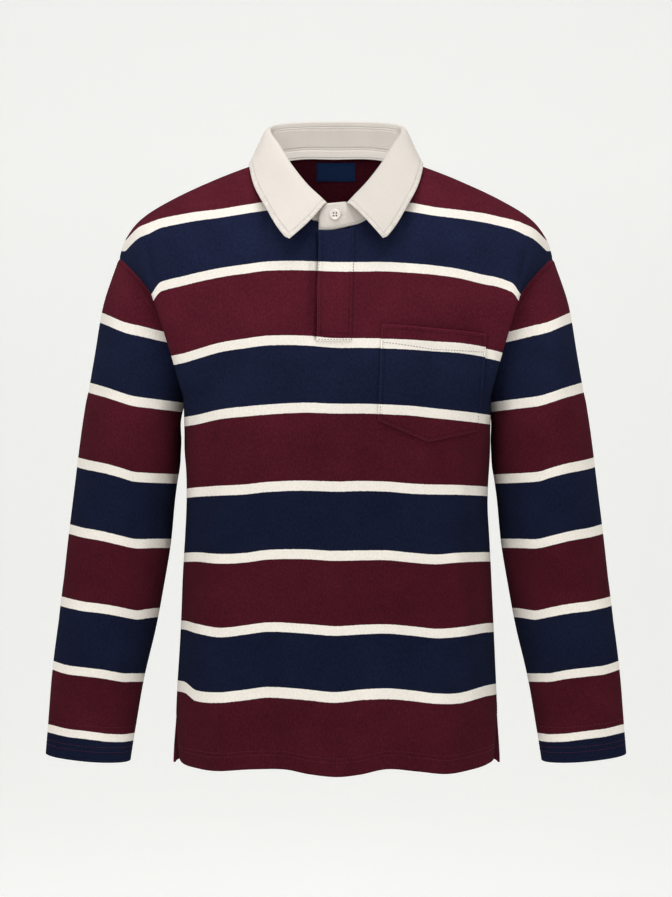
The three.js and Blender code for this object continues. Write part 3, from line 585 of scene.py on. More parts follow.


# A closed shell of cloth from a grid on its outer face. cloth holds, for each point, the place across
# the weave, along the stripes' repeat, and the distance from the nearest sewn edge, raised past sewnLimit
# by painted shade. The rim is rounded.
def clothShell(name, grid, facing, thickness, cloth, closed=False, keep=None, rimRound=0.35):
    rows, columns = grid.shape[:2]
    normals = gridNormals(grid, facing, closed)
    thick = np.broadcast_to(np.asarray(thickness, float), (rows, columns))[..., None]
    inner = grid - normals * thick
    cellColumns = columns if closed else columns - 1
    cells = np.ones((rows - 1, cellColumns), bool) if keep is None else keep
    count = rows * columns
    points = [grid.reshape(-1, 3), inner.reshape(-1, 3)]
    values = [cloth.reshape(-1, 3), cloth.reshape(-1, 3)]
    index = np.arange(count).reshape(rows, columns)
    nextColumn = np.roll(index, -1, axis=1)
    a = index[:-1, :cellColumns][cells]
    b = nextColumn[:-1, :cellColumns][cells]
    c = nextColumn[1:, :cellColumns][cells]
    d = index[1:, :cellColumns][cells]
    ring = [a, b, c, d] if facing > 0 else [a, d, c, b]
    faces = [np.stack(ring, axis=-1), np.stack(ring[::-1], axis=-1) + count]
    mids = {}
    extraPoints = []
    extraValues = []
    flat = grid.reshape(-1, 3)
    flatInner = inner.reshape(-1, 3)
    flatCloth = cloth.reshape(-1, 3)

    def middleOf(i, outward):
        if i not in mids:
            mids[i] = [len(mids), np.zeros(3)]
            extraPoints.append((flat[i] + flatInner[i]) / 2)
            extraValues.append(flatCloth[i])
        mids[i][1] = mids[i][1] + outward
        return 2 * count + mids[i][0]

    padded = np.zeros((rows + 1, cellColumns + 2), bool)
    padded[1:-1, 1:-1] = cells
    if closed:
        padded[1:-1, 0] = cells[:, -1]
        padded[1:-1, -1] = cells[:, 0]
    rim = []
    for r, col in np.argwhere(cells):
        here = index[r, col], nextColumn[r, col], nextColumn[r + 1, col], index[r + 1, col]
        sides = ((0, 1, padded[r, col + 1]), (1, 2, padded[r + 1, col + 2]))
        sides += ((2, 3, padded[r + 2, col + 1]), (3, 0, padded[r + 1, col]))
        if all(side[2] for side in sides):
            continue
        middle = flat[list(here)].mean(axis=0)
        for first, second, full in sides:
            if full:
                continue
            i, j = int(here[first]), int(here[second])
            outward = unit((flat[i] + flat[j]) / 2 - middle)
            p, q = middleOf(i, outward), middleOf(j, outward)
            quads = [(i, p, q, j), (p, i + count, j + count, q)]
            if facing < 0:
                quads = [quad[::-1] for quad in quads]
            rim += quads
    for i, (place, outward) in mids.items():
        extraPoints[place] = extraPoints[place] + unit(outward) * rimRound
    if extraPoints:
        points.append(np.array(extraPoints))
        values.append(np.array(extraValues))
    points = np.concatenate(points)
    values = np.concatenate(values)
    allFaces = np.concatenate(faces + ([np.array(rim)] if rim else []))
    used = np.unique(allFaces)
    renumber = np.zeros(len(points), int)
    renumber[used] = np.arange(len(used))
    return makeMesh(name, points[used], renumber[allFaces], {"cloth": values[used]})


def spaced(start, end, count, near):
    body = np.linspace(start, end, count + 1)
    close = [start + step for step in near if start + step < body[1]]
    return np.concatenate([[start], close, body[1:]])


def arcAcross(grid):
    lengths = runningLength(grid, 1)
    return lengths - lengths[:, lengths.shape[1] // 2][:, None]


nearSeam = (0.005, 0.01, 0.017, 0.026)
nearTop = (0.012, 0.024, 0.04)
hemDrop = 1.955  # where the rows come closer for the hem
creaseGain = 1.9
sewnLimit = 12  # the greatest distance from a sewn edge that a point holds; more is painted shade
shadeRange = 10


def panelGrid(face):
    lastShare = slotShare if face < 0 else 1.0
    shares = spaced(0, neckShare, 56, nearSeam)
    shares = np.concatenate([shares, np.linspace(neckShare, lastShare, 25)[1:]])
    if face < 0:
        shares = np.concatenate([shares, np.linspace(slotShare, 1, 5)[1:]])
    side = np.concatenate([-np.ones(len(shares)), np.ones(len(shares) - 1)])
    share = np.concatenate([shares, shares[:-1][::-1]])
    if face < 0:
        drops = np.concatenate([spaced(0, slotDrop, 44, nearTop), np.linspace(slotDrop, 1, 22)[1:]])
    else:
        drops = spaced(0, 1, 64, nearTop)
    drops = np.concatenate([drops, np.linspace(1, hemDrop, 82)[1:], np.linspace(hemDrop, 2, 7)[1:]])
    return side, share, drops


def dropAtHeight(face, share, z):
    drops = np.linspace(0.02, 2, 800)
    heights = bodyPoints(face, np.ones(800), np.full(800, share), drops)[:, 2]
    return float(np.interp(-z, -heights, drops))


slotDrop = dropAtHeight(-1, 1.0, levels["placketFoot"])
ventDrop = dropAtHeight(-1, 0.0, levels["vent"])


# The cloth's outer face with its creases
def dressedBody(face, side, share, drop):
    side, share, drop = np.broadcast_arrays(side, share, drop)
    base = bodyPoints(face, side, share, drop)
    normals = bodyNormals(face, side, share, np.clip(drop, 0.01, 2))
    creases = frontCreases if face < 0 else backCreases
    rise = creaseGain * creaseRise(creases, base[..., 0], base[..., 2]) + ripple(base[..., 0], base[..., 2])
    rise = rise * smoothStep(share, 0, 0.06) * smoothStep(drop, 0, 0.08)
    return base + normals * rise[..., None]


def hemmed(toHem, width):
    return jersey["thickness"] + jersey["hem"] * (1 - smoothStep(toHem, width, width + jersey["hemEdge"]))


# The shade that the placket's open edge throws on the front, by the edge's place at two heights
placketEdge = {"heights": (95, 226), "places": (-20, -23), "from": 0.5, "to": 6, "behind": -4}


def placketShade(grid):
    depth = -grid[..., 2]
    beside = np.interp(depth, placketEdge["heights"], placketEdge["places"]) - grid[..., 0]
    within = smoothStep(depth, 92, 98) * (1 - smoothStep(depth, 222, 229))
    near = 1 - smoothStep(beside, placketEdge["from"], placketEdge["to"])
    return near * smoothStep(beside, placketEdge["behind"], -1) * within


def makePanel(face):
    name = "frontPanel" if face < 0 else "backPanel"
    side, share, drops = panelGrid(face)
    side, share = np.meshgrid(side, drops)[0], np.meshgrid(share, drops)[0]
    drop = np.repeat(drops[:, None], share.shape[1], axis=1)
    grid = dressedBody(face, side, share, drop)
    columns = share.shape[1]
    if face < 0:
        near = smoothStep(grid[..., 0], -37, -30) * (1 - smoothStep(grid[..., 0], -17.5, -15.5))
        rows = np.clip(1 - np.arange(len(drops)) / 3, 0, 1)[:, None]
        grid = grid + vectors(0 * near, -0.9 * near * rows, 3.2 * near * rows)
    toTop = runningLength(grid)
    toHem = toTop[-1] - toTop
    toSide = share * frontHalfLength + np.where(drop < ventDrop, 0, 6)
    sewn = np.minimum(toSide, toTop)
    roll = np.clip(1 - sewn / jersey["seamReach"], 0, 1) ** 2 * jersey["seamRoll"]
    grid = grid - gridNormals(grid, face) * roll[..., None]
    shade = shadeRange * placketShade(grid) if face < 0 else 0
    cloth = vectors(arcAcross(grid), bodyStripes(face, grid), np.minimum(sewn, sewnLimit) + shade)
    keep = np.ones((len(drops) - 1, columns - 1), bool)
    if face < 0:
        inSlot = np.minimum(share[:-1, :-1], share[:-1, 1:]) > slotShare - 1e-4
        keep &= ~(inSlot & (drop[1:, :-1] <= slotDrop + 1e-6))
    piece = clothShell(name, grid, face, hemmed(toHem, jersey["hemWidth"]), cloth, keep=keep)
    print(f"stage: {name}, {len(piece.data.polygons)} faces")
    return piece, formOf(grid, face, share=share, drop=drop)


frontPanel, frontForm = makePanel(-1)
backPanel, backForm = makePanel(1)


# The armhole's line on the body, or one a little inside it and sunk below the cloth's face
def armholePoints(turn, side, share=0.0, sunk=0.0):
    forward = turn <= 0.5
    along = np.clip(np.where(forward, turn * 2, (1 - turn) * 2), 0.01 if sunk else 0, 1)
    at = np.full_like(turn, share)
    one = np.full_like(turn, side)
    front, back = (bodyPoints(face, one, at, along) for face in (-1, 1))
    if sunk:
        front = front - bodyNormals(-1, one, at, along) * sunk
        back = back - bodyNormals(1, one, at, along) * sunk
    return np.where(forward[..., None], front, back) * np.array([side, 1.0, 1.0])


def sleeveSection(row, turn):
    angle = turn * math.pi * 2
    power = 2 / roundness["sleeve"]
    reach = np.sign(np.cos(angle)) * np.abs(np.cos(angle)) ** power
    depth = np.sign(np.sin(angle)) * np.abs(np.sin(angle)) ** power
    part = {key: values[row] for key, values in sleeveSections.items()}
    return vectors(
        (part["outerX"] + part["innerX"]) / 2 + reach * (part["outerX"] - part["innerX"]) / 2,
        part["middleY"] - depth * part["halfDepth"],
        (part["outerZ"] + part["innerZ"]) / 2
        + reach * (part["outerZ"] - part["innerZ"]) / 2
        - depth * part["frontDrop"],
    )


def sleeveFoldRise(turn, share):
    rise = np.zeros_like(turn)
    for i in range(len(sleeveFolds["rise"])):
        fold = {key: values[i] for key, values in sleeveFolds.items()}
        along = (share - fold["startShare"]) / (fold["endShare"] - fold["startShare"])
        middle = fold["startTurn"] + (fold["endTurn"] - fold["startTurn"]) * along
        across = (turn - middle) / fold["width"]
        rise += fold["rise"] * np.sin(np.clip(along, 0, 1) * math.pi) ** 0.5 * np.exp(-across * across)
    return rise


def makeSleeve(side):
    name = "sleeveLeft" if side < 0 else "sleeveRight"
    turns = np.linspace(0, 1, 133)[:-1]
    nearArmhole = [0, 0.002, 0.004, 0.007, 0.011]
    shares = np.concatenate([nearArmhole, np.linspace(0.016, 0.96, 128), np.linspace(0.96, 1, 12)[1:]])
    sections = [sleeveSection(row, turns) for row in range(len(sleeveSections["outerX"]))]
    stations = np.stack([armholePoints(turns, side)] + sections, axis=0)
    grid = np.zeros((len(shares), len(turns), 3))
    for column in range(len(turns)):
        grid[:, column] = pathThrough(stations[:, column])(shares)
    middles = grid.mean(axis=1, keepdims=True)
    turn, share = np.meshgrid(turns, shares)
    rise = sleeveFoldRise(turn, share)
    for wrapped in (-1, 0, 1):
        rise += creaseRise(sleeveCreases, turn + wrapped, share, 1.5)
    rise += 0.8 * ripple(turn * 330, share * 560) * smoothStep(share, 0, 0.05)
    grid = grid + unit(grid - middles) * rise[..., None]
    toTop = runningLength(grid)
    toHem = toTop[-1] - toTop
    grid[..., 0] *= side
    roll = np.clip(1 - toTop / jersey["seamReach"], 0, 1) ** 2 * jersey["seamRoll"]
    grid = grid - gridNormals(grid, side, closed=True) * roll[..., None]
    tucked = armholePoints(turns, side, 0.03, 3.4)
    tucked[:, 0] *= side
    grid = np.concatenate([tucked[None], grid])
    toTop, toHem = (np.concatenate([field[:1], field]) for field in (toTop, toHem))
    turn = np.concatenate([turn[:1], turn])
    middleY = grid[..., 1].mean(axis=1, keepdims=True)
    seenX, seenZ = seenPlace(grid[..., 0] * side, middleY - np.abs(grid[..., 1] - middleY), grid[..., 2])
    stripes = stripePlace(sleeveStripes, np.clip(seenX, 183, 361), seenZ)
    around = turn * np.linalg.norm(np.diff(grid, axis=1), axis=-1).sum(axis=1)[:, None]
    cloth = vectors(around, stripes, np.minimum(toTop, sewnLimit))
    piece = clothShell(name, grid, side, hemmed(toHem, jersey["cuffWidth"]), cloth, closed=True)
    print(f"stage: {name}, {len(piece.data.polygons)} faces")
    return piece, formOf(grid, side, closed=True, toHem=toHem)


sleeveLeft, leftForm = makeSleeve(-1)
sleeveRight, rightForm = makeSleeve(1)


# The collar's seam, fold and edge, right round the neck
def wholeCollar(count):
    parts = {}
    for key, values in collarSections.items():
        mirrored = -values[1:][::-1] if key.endswith("X") else values[1:][::-1]
        parts[key] = np.concatenate([mirrored, values])
    seam, fold, edge = (namedPoints(parts, name) for name in ("seam", "fold", "edge"))
    steps = sum(np.linalg.norm(np.diff(line, axis=0), axis=1) for line in (seam, edge))
    at = np.concatenate([[0], np.cumsum(steps)]) / steps.sum()
    share = np.linspace(0, 1, count)
    return [vectors(*[hermite(at, line[:, i], share) for i in range(3)]) for line in (seam, fold, edge)]


collarSeam, collarFold, collarEdge = wholeCollar(241)
collarAlong = unit(np.gradient(collarFold, axis=0))
collarOut = unit(np.cross(collarFold - collarSeam, collarAlong))
collarUp = unit(np.cross(collarAlong, collarOut))


def profile(start, along):
    return start[None] + sum(np.asarray(step)[:, None, None] * way[None] for step, way in along)


# The folded leaf's lip, roll and crown, and its corners
leafRoll = {"inner": 1.0, "lip": 6.6, "radius": 2.7, "sink": 2.1, "out": 6.5, "rise": 1.0}
leafRoll |= {"share": 0.5, "crown": 4, "frontBow": 6.0, "corner": 6.0, "cornerPull": 2.6}


def makeLeaf():
    turns = np.radians(np.linspace(180, 90, 8))
    centreOut = leafRoll["radius"] - leafRoll["inner"]
    lipDrop = np.linspace(leafRoll["lip"], leafRoll["sink"] + 0.6, 5)
    rollOut = centreOut + leafRoll["radius"] * np.cos(turns)
    outSteps = np.concatenate([np.full(5, -leafRoll["inner"]), rollOut])
    upSteps = np.concatenate([-lipDrop, leafRoll["radius"] * np.sin(turns) - leafRoll["sink"]])
    lip = profile(collarFold, ((outSteps, collarOut), (upSteps, collarUp)))
    start = lip[-1]
    leave = start + collarOut * leafRoll["out"] + collarUp * leafRoll["rise"]
    arrive = start + (collarEdge - start) * leafRoll["share"] + collarOut * leafRoll["crown"]
    t = np.concatenate([np.linspace(0, 0.9, 24)[1:], np.linspace(0.9, 1, 7)[1:]])[:, None, None]
    fall = bezier(start[None], leave[None], arrive[None], collarEdge[None], t)
    grid = np.concatenate([lip, fall])
    fromLip = runningLength(grid)
    toEdge = fromLip[-1] - fromLip
    around = arcAcross(grid)
    toEnd = np.minimum(around - around[:, :1], around[:, -1:] - around)
    wave = 0.35 * np.sin(around / 23) * smoothStep(fromLip, 12, 40)
    wave = wave + 0.25 * np.sin(around / 9 + 1) * smoothStep(fromLip, 30, 50)
    grid = grid + gridNormals(grid, 1) * wave[..., None]
    nearFirst = 1 - smoothStep(np.arange(grid.shape[1]), 0, 20)
    grid[..., 0] += leafRoll["frontBow"] * np.sin(math.pi * fromLip / fromLip[-1]) * nearFirst
    near = np.clip(1 - toEdge / leafRoll["corner"], 0, 1) * np.clip(1 - toEnd / leafRoll["corner"], 0, 1)
    grid = grid + unit(grid[-6] - grid[-1])[None] * near[..., None] * leafRoll["cornerPull"]
    sewn = np.minimum(toEdge, toEnd)
    thin = twill["thickness"] - 0.5 * (1 - smoothStep(sewn, 0, 2))
    cloth = vectors(around, fromLip, sewn)
    piece = clothShell("collarLeaf", grid, 1, thin, cloth, rimRound=0.4)
    return piece, formOf(grid, 1, toEdge=toEdge, toEnd=toEnd)


collarLeaf, leafForm = makeLeaf()

# Where the band's ends lie, the one over the other, and how the upper one is rounded
band = {"clear": 0.9, "endFrom": 0.35, "endHeight": 0.48, "endPower": 2.1, "bulge": 0.5}
bandEnds = {
    "under": table("seamX seamY seamZ foldX foldY foldZ", (13, -74.5, -88.5, 12, -75, -58.5)),
    "over": table(
        "seamX seamY seamZ foldX foldY foldZ",
        (-3, -81.5, -92.6, -3, -82, -61.6),
        (-20.3, -80.8, -93.4, -20.6, -81.2, -63.4),
    ),
}


def makeBand():
    seam, fold = collarSeam.copy(), collarFold.copy()
    near = smoothStep(-np.arange(len(seam)), -12, 0)[:, None] * np.array([0, 3.0, 0])
    seam, fold = seam + near, fold + near
    ends = np.minimum(np.arange(len(seam)), len(seam) - 1 - np.arange(len(seam)))
    covered = smoothStep(ends, 12, 36)[:, None]
    seam, fold = (line + collarOut * band["clear"] * covered for line in (seam, fold))
    fold = fold - collarUp * (leafRoll["lip"] - 0.3) * covered
    under, over = bandEnds["under"], bandEnds["over"]
    steps = np.linspace(0, 1, 9)[:, None]

    def extend(line, name):
        underEnd, overEnds = namedPoints(under, name)[0], namedPoints(over, name)
        before = underEnd + (line[0] - underEnd) * steps[:-1]
        first = line[-1] + (overEnds[0] - line[-1]) * steps[1:]
        second = overEnds[0] + (overEnds[1] - overEnds[0]) * np.linspace(0, 1, 25)[1:, None]
        return np.concatenate([before, line, first, second])

    seam, fold = extend(seam, "seam"), extend(fold, "fold")
    place = np.arange(len(seam)) - (len(seam) - 25)
    inEnd = np.clip(place / 24, 0, 1)
    corner = np.clip((inEnd - band["endFrom"]) / (1 - band["endFrom"]), 0, 1)
    arc = np.sqrt(np.clip(1 - corner ** band["endPower"], 0, 1))
    rounded = band["endHeight"] + (1 - band["endHeight"]) * arc
    height = unit(fold - seam)
    foot = seam - height * 0.2
    top = foot + (fold - height * 0.6 - foot) * rounded[:, None]
    v = np.linspace(1, 0, 10)[:, None, None]
    grid = foot[None] + (top - foot)[None] * v
    grid = grid + gridNormals(grid, 1) * (np.sin(v * math.pi) * band["bulge"])
    along = arcAcross(grid)
    down = runningLength(grid)
    toEnd = np.minimum(along - along[:, :1], along[:, -1:] - along)
    sewn = np.minimum(np.minimum(down, down[-1] - down), toEnd)
    piece = clothShell("collarStand", grid, 1, twill["thickness"], vectors(along, down, sewn), rimRound=0.4)
    return piece, formOf(grid, 1, down=down)


collarStand, standForm = makeBand()
print("stage: collar")


# The points and normals of the front or the back at places seen from the front
def onCloth(face, x, z):
    side, share, drop = bodyPlace(face, x, z)
    base = dressedBody(face, side, share, drop)
    return base, bodyNormals(face, side, np.minimum(share, 0.998), np.clip(drop, 0.01, 2))


# Patches on the front lie on the cloth's own points
cornerNames = ("topLeft", "topRight", "footRight", "footLeft")


def patchGrid(corners, across, down, pointDrop=0.0):
    p, q = np.meshgrid(across, down)
    topLeft, topRight, footRight, footLeft = (np.array(corners[key], float) for key in cornerNames)
    top = topLeft + (topRight - topLeft) * p[..., None]
    foot = footLeft + (footRight - footLeft) * p[..., None]
    flat = top + (foot - top) * q[..., None]
    z = flat[..., 1] - pointDrop * (1 - np.abs(2 * p - 1)) * q
    return p, q, *onCloth(-1, flat[..., 0], z)


# Each point's distance from the left, right, top and foot
def edgeDistances(grid):
    along, down = runningLength(grid, 1), runningLength(grid)
    return along, along[:, -1:] - along, down, down[-1] - down


def fineEdges(count, near=0.02):
    inner = np.linspace(near, 1 - near, count)[1:-1]
    return np.concatenate([[0, near * 0.35, near], inner, [1 - near, 1 - near * 0.35, 1]])


pocketShape = {
    "topLeft": (53.5, -207.5),
    "topRight": (177, -217),
    "footRight": (166, -331),
    "footLeft": (49, -319),
    "point": 19,
    "standOff": 1.9,
    "puff": 1.9,
    "belly": 2.0,
    "topHem": 1.1,
    "stripeShift": 3.0,
}
placketShape = {
    "topLeft": (-20, -95.2),
    "topRight": (22.5, -91.5),
    "footRight": (19, -226),
    "footLeft": (-23, -226),
    "standOff": 1.0,
    "lift": 3.6,
    "sewnDown": 3.2,
    "extraThickness": 0.4,
}
underPlacketShape = {
    "topLeft": (-22, -91),
    "topRight": (16, -91),
    "footRight": (16, -222),
    "footLeft": (-22, -222),
    "behind": 0.6,
}


def makePocket():
    p, q, base, normals = patchGrid(pocketShape, fineEdges(44), fineEdges(44), pocketShape["point"])
    left, right, top, foot = edgeDistances(base)
    edge = np.minimum(np.minimum(left, right), foot)
    puff = pocketShape["puff"] * smoothStep(edge, 0, 28)
    puff = puff + pocketShape["belly"] * smoothStep(edge, 4, 50) * (1 - smoothStep(top, 0, 50))
    topHem = pocketShape["topHem"] * (1 - smoothStep(top, 18, 23)) * smoothStep(edge, 0, 5)
    grid = base + normals * (pocketShape["standOff"] + jersey["thickness"] + puff + topHem)[..., None]
    shift = pocketShape["stripeShift"] * (1 - smoothStep(q, 0, 0.5)) * (p - 0.25)
    stripes = bodyStripes(-1, grid + vectors(0 * p, 0 * p, -shift))
    cloth = vectors(arcAcross(grid), stripes, np.minimum(np.minimum(edge, top), sewnLimit))
    hemThick = jersey["thickness"] + 0.9 * (1 - smoothStep(top, 22, 24))
    return clothShell("chestPocket", grid, -1, hemThick, cloth), formOf(grid, -1)


def makePlacketTop():
    p, q, base, normals = patchGrid(placketShape, fineEdges(22, 0.05), fineEdges(70))
    left, right, _, foot = edgeDistances(base)
    lifted = placketShape["lift"] * (1 - smoothStep(left, 0, 12)) * smoothStep(foot, 1, 14)
    lifted = lifted - placketShape["sewnDown"] * (1 - smoothStep(right, 0, 1.2))
    soft = 0.5 * np.sin(q * 11 + p) * smoothStep(foot, 0, 40)
    grid = base + normals * (placketShape["standOff"] + jersey["thickness"] + lifted + 0.3 * soft)[..., None]
    grid[..., 0] += 0.5 * np.sin(q * 9) * (1 - smoothStep(left, 0, 20))
    sewn = np.minimum(left, np.minimum(right, foot))
    cloth = vectors(arcAcross(grid), bodyStripes(-1, grid), np.minimum(sewn, sewnLimit))
    thickness = jersey["thickness"] + placketShape["extraThickness"]
    return clothShell("placketTop", grid, -1, thickness, cloth), formOf(grid, -1)


def makePlacketUnder():
    _, _, base, normals = patchGrid(underPlacketShape, fineEdges(10, 0.05), fineEdges(40))
    grid = base - normals * (jersey["thickness"] + underPlacketShape["behind"])
    left, right, _, _ = edgeDistances(grid)
    sewn = np.minimum(np.minimum(left, right), sewnLimit)
    cloth = vectors(arcAcross(grid), bodyStripes(-1, grid), sewn)
    return clothShell("placketUnder", grid, -1, jersey["thickness"], cloth)


pocket, pocketForm = makePocket()
placketTop, placketForm = makePlacketTop()
placketUnder = makePlacketUnder()

tape = {"height": 12.6, "halfWidth": 80, "lean": -0.06, "inset": 2.0, "thickness": 0.8}
label = {"halfWidth": 24.5, "top": 5.3, "foot": -17, "thickness": 0.7, "lift": 0.6}


def makeLabel():
    x, q = np.meshgrid(np.linspace(-label["halfWidth"], label["halfWidth"], 41), np.linspace(0, 1, 21))
    base, normals = onCloth(1, x, label["top"] + (label["foot"] - label["top"]) * q)
    grid = base - normals * (jersey["thickness"] + label["lift"] + label["thickness"])
    left, right, above, below = edgeDistances(grid)
    sewn = np.minimum(np.minimum(left, right), np.minimum(above, below))
    cloth = vectors(arcAcross(grid), above, sewn)
    grid = grid[:, ::-1]
    return clothShell("neckLabel", grid, 1, label["thickness"], cloth[:, ::-1], rimRound=0.2), formOf(grid, 1)


# The tape carries on down from the band's foot
def makeTape():
    inside = (np.abs(collarSeam[:, 0]) <= tape["halfWidth"]) & (collarSeam[:, 1] > 0)
    seam, out, up = collarSeam[inside], collarOut[inside], collarUp[inside]
    steps = np.linspace(-0.6, tape["height"], 12)
    lean = np.sin(tape["lean"]) * np.clip(steps, 0, None)
    grid = profile(seam, ((-tape["inset"] + lean, out), (-steps * np.cos(tape["lean"]), up)))
    grid = grid[:, ::-1]
    _, _, above, below = edgeDistances(grid)
    cloth = vectors(arcAcross(grid), above, np.minimum(above, below))
    return clothShell("neckTape", grid, -1, tape["thickness"], cloth, rimRound=0.2)


neckTape = makeTape()
neckLabel, labelForm = makeLabel()
print("stage: patches, tape and label")


# How far each row of stitches lies from its edge or seam
sewing = {"hem": (16, 21), "cuff": (12.5, 18.5, 43), "shoulder": 5.5, "armhole": 5.0, "vent": 9.0}
sewing |= {"leaf": 5.4, "stand": 2.4}


# Threads: small raised stitches along a path that lies on the cloth
def stitches(name, rows, length=3.0, gap=1.0, radius=0.28, lift=0.1):
    ringAt = np.array([0, 0.15, 0.5, 0.85, 1.0])
    ringSize = np.array([0.25, 0.85, 1.0, 0.85, 0.25])
    ringLift = np.array([-0.9, -0.1, 0.35, -0.1, -0.9])
    sides = 6
    angles = np.arange(sides) * 2 * math.pi / sides
    points, faces = [], []
    for path, normals in rows:
        at = runningLength(path)
        count = max(int(at[-1] / (length + gap)), 1)
        pitch = at[-1] / count
        for k in range(count):
            where = (k + 0.5) * pitch + (ringAt - 0.5) * length
            middle = vectors(*[np.interp(where, at, path[:, i]) for i in range(3)])
            up = unit(vectors(*[np.interp(where, at, normals[:, i]) for i in range(3)]))
            ahead = unit(np.gradient(middle, axis=0))
            beside = unit(np.cross(ahead, up))
            base = len(points)
            for r in range(len(ringAt)):
                centre = middle[r] + up[r] * (lift + ringLift[r] * radius)
                for angle in angles:
                    spoke = beside[r] * math.cos(angle) + up[r] * math.sin(angle)
                    points.append(centre + spoke * radius * ringSize[r])
            for r in range(len(ringAt) - 1):
                for s in range(sides):
                    first = base + r * sides + s
                    second = base + r * sides + (s + 1) % sides
                    faces.append((first, first + sides, second + sides, second))
            faces.append(tuple(base + s for s in range(sides)))
            faces.append(tuple(base + (len(ringAt) - 1) * sides + s for s in reversed(range(sides))))
    return makeMesh(name, np.array(points), faces)


# The line where a distance over a grid reaches a value, one point for each row or column
def isoLine(grid, normals, field, value, axis=0):
    if axis == 1:
        grid, normals, field = grid.transpose(1, 0, 2), normals.transpose(1, 0, 2), field.T
    points, ways = [], []
    for j in range(grid.shape[1]):
        order = np.argsort(field[:, j])
        values = field[order, j]
        if not values[0] <= value <= values[-1]:
            continue
        points.append([np.interp(value, values, grid[order, j, i]) for i in range(3)])
        ways.append([np.interp(value, values, normals[order, j, i]) for i in range(3)])
    return np.array(points), unit(np.array(ways))


def gridLine(form, corners, count=60):
    grid, normals = form["grid"], form["normals"]
    rows, columns = grid.shape[:2]
    points, ways = [], []
    for (u0, v0), (u1, v1) in zip(corners, corners[1:]):
        for t in np.linspace(0, 1, count, endpoint=False):
            u = (u0 + (u1 - u0) * t) * (columns - 1)
            v = (v0 + (v1 - v0) * t) * (rows - 1)
            i, j = min(int(v), rows - 2), min(int(u), columns - 2)
            a, b = v - i, u - j
            for source, target in ((grid, points), (normals, ways)):
                upper = source[i, j] * (1 - b) + source[i, j + 1] * b
                lower = source[i + 1, j] * (1 - b) + source[i + 1, j + 1] * b
                target.append(upper * (1 - a) + lower * a)
    return np.array(points), unit(np.array(ways))


def panelRows(form):
    grid, normals, share, drop = form["grid"], form["normals"], form["share"], form["drop"]
    toTop = runningLength(grid)
    toHem = toTop[-1] - toTop
    hem = [isoLine(grid, normals, toHem, value) for value in sewing["hem"]]
    onTop = share[0] <= neckShare + 1e-6
    middle = grid.shape[1] // 2
    shoulders = []
    for half in (slice(0, middle), slice(middle + 1, None)):
        inside = np.where(onTop[half])[0] + (0 if half.start == 0 else middle + 1)
        shoulders.append(isoLine(grid[:, inside], normals[:, inside], toTop[:, inside], sewing["shoulder"]))
    upper = drop[:, 0] <= 1.0 + 1e-6
    armholes = []
    vents = []
    fromLeft = runningLength(grid, 1)
    low = drop[:, 0] >= ventDrop - 0.02
    for field, part in ((fromLeft, slice(0, middle)), (fromLeft[:, -1:] - fromLeft, slice(middle + 1, None))):
        for lines, rows, distance in ((armholes, upper, sewing["armhole"]), (vents, low, sewing["vent"])):
            fields = (values[rows][:, part] for values in (grid, normals, field))
            lines.append(isoLine(*fields, distance, axis=1))
    return hem, shoulders, armholes, vents


frontHemRows, _, frontArmholeRows, frontVentRows = panelRows(frontForm)
backHemRows, backShoulderRows, backArmholeRows, backVentRows = panelRows(backForm)
hemRows = frontHemRows + backHemRows + frontVentRows + backVentRows
hemStitches = stitches("hemStitches", hemRows, length=2.6, gap=1.0, radius=0.19)
seamRows = backShoulderRows + frontArmholeRows + backArmholeRows
seamStitches = stitches("seamStitches", seamRows, length=2.6, gap=1.1, radius=0.17)


def closedRow(form, value):
    points, ways = isoLine(form["grid"], form["normals"], form["toHem"], value)
    return np.concatenate([points, points[:1]]), np.concatenate([ways, ways[:1]])


cuffRows = [closedRow(form, value) for form in (leftForm, rightForm) for value in sewing["cuff"]]
cuffStitches = stitches("cuffStitches", cuffRows, length=2.6, gap=1.0, radius=0.19)

leafRows = [isoLine(*(leafForm[key][12:] for key in ("grid", "normals", "toEdge")), sewing["leaf"])]
sidePart = leafForm["grid"].shape[1] // 4
for part in (slice(0, sidePart), slice(-sidePart, None)):
    rows = [leafForm[key][14:-6, part] for key in ("grid", "normals", "toEnd")]
    leafRows.append(isoLine(*rows, sewing["leaf"], axis=1))
fromFoot = standForm["down"][-1] - standForm["down"]
standRows = [isoLine(standForm["grid"], standForm["normals"], fromFoot, sewing["stand"])]
collarStitches = stitches("collarStitches", leafRows + standRows, length=2.5, gap=0.9, radius=0.22)

placketRows = [
    gridLine(placketForm, ((0.955, 0.02), (0.955, 0.985), (0.04, 0.985))),
    gridLine(placketForm, ((0.06, 0.925), (0.94, 0.925))),
    gridLine(placketForm, ((0.045, 0.03), (0.045, 0.925))),
]
placketStitches = stitches("placketStitches", placketRows, length=2.4, gap=1.1, radius=0.28)
pocketRows = [
    gridLine(pocketForm, ((0.035, 0.02), (0.035, 0.965), (0.5, 0.965), (0.965, 0.965), (0.965, 0.02))),
    gridLine(pocketForm, ((0.03, 0.2), (0.97, 0.2))),
    gridLine(pocketForm, ((0.035, 0.11), (0.11, 0.02)), 20),
    gridLine(pocketForm, ((0.965, 0.11), (0.89, 0.02)), 20),
]
pocketStitches = stitches("pocketStitches", pocketRows, length=2.4, gap=1.1, radius=0.26)
labelRows = [
    gridLine(labelForm, ((0.03, 0.04), (0.03, 0.96)), 20),
    gridLine(labelForm, ((0.97, 0.04), (0.97, 0.96)), 20),
]
labelRows = [(path, -ways) for path, ways in labelRows]
labelStitches = stitches("labelStitches", labelRows, length=1.6, gap=0.7, radius=0.16, lift=0.9)
print("stage: stitches")
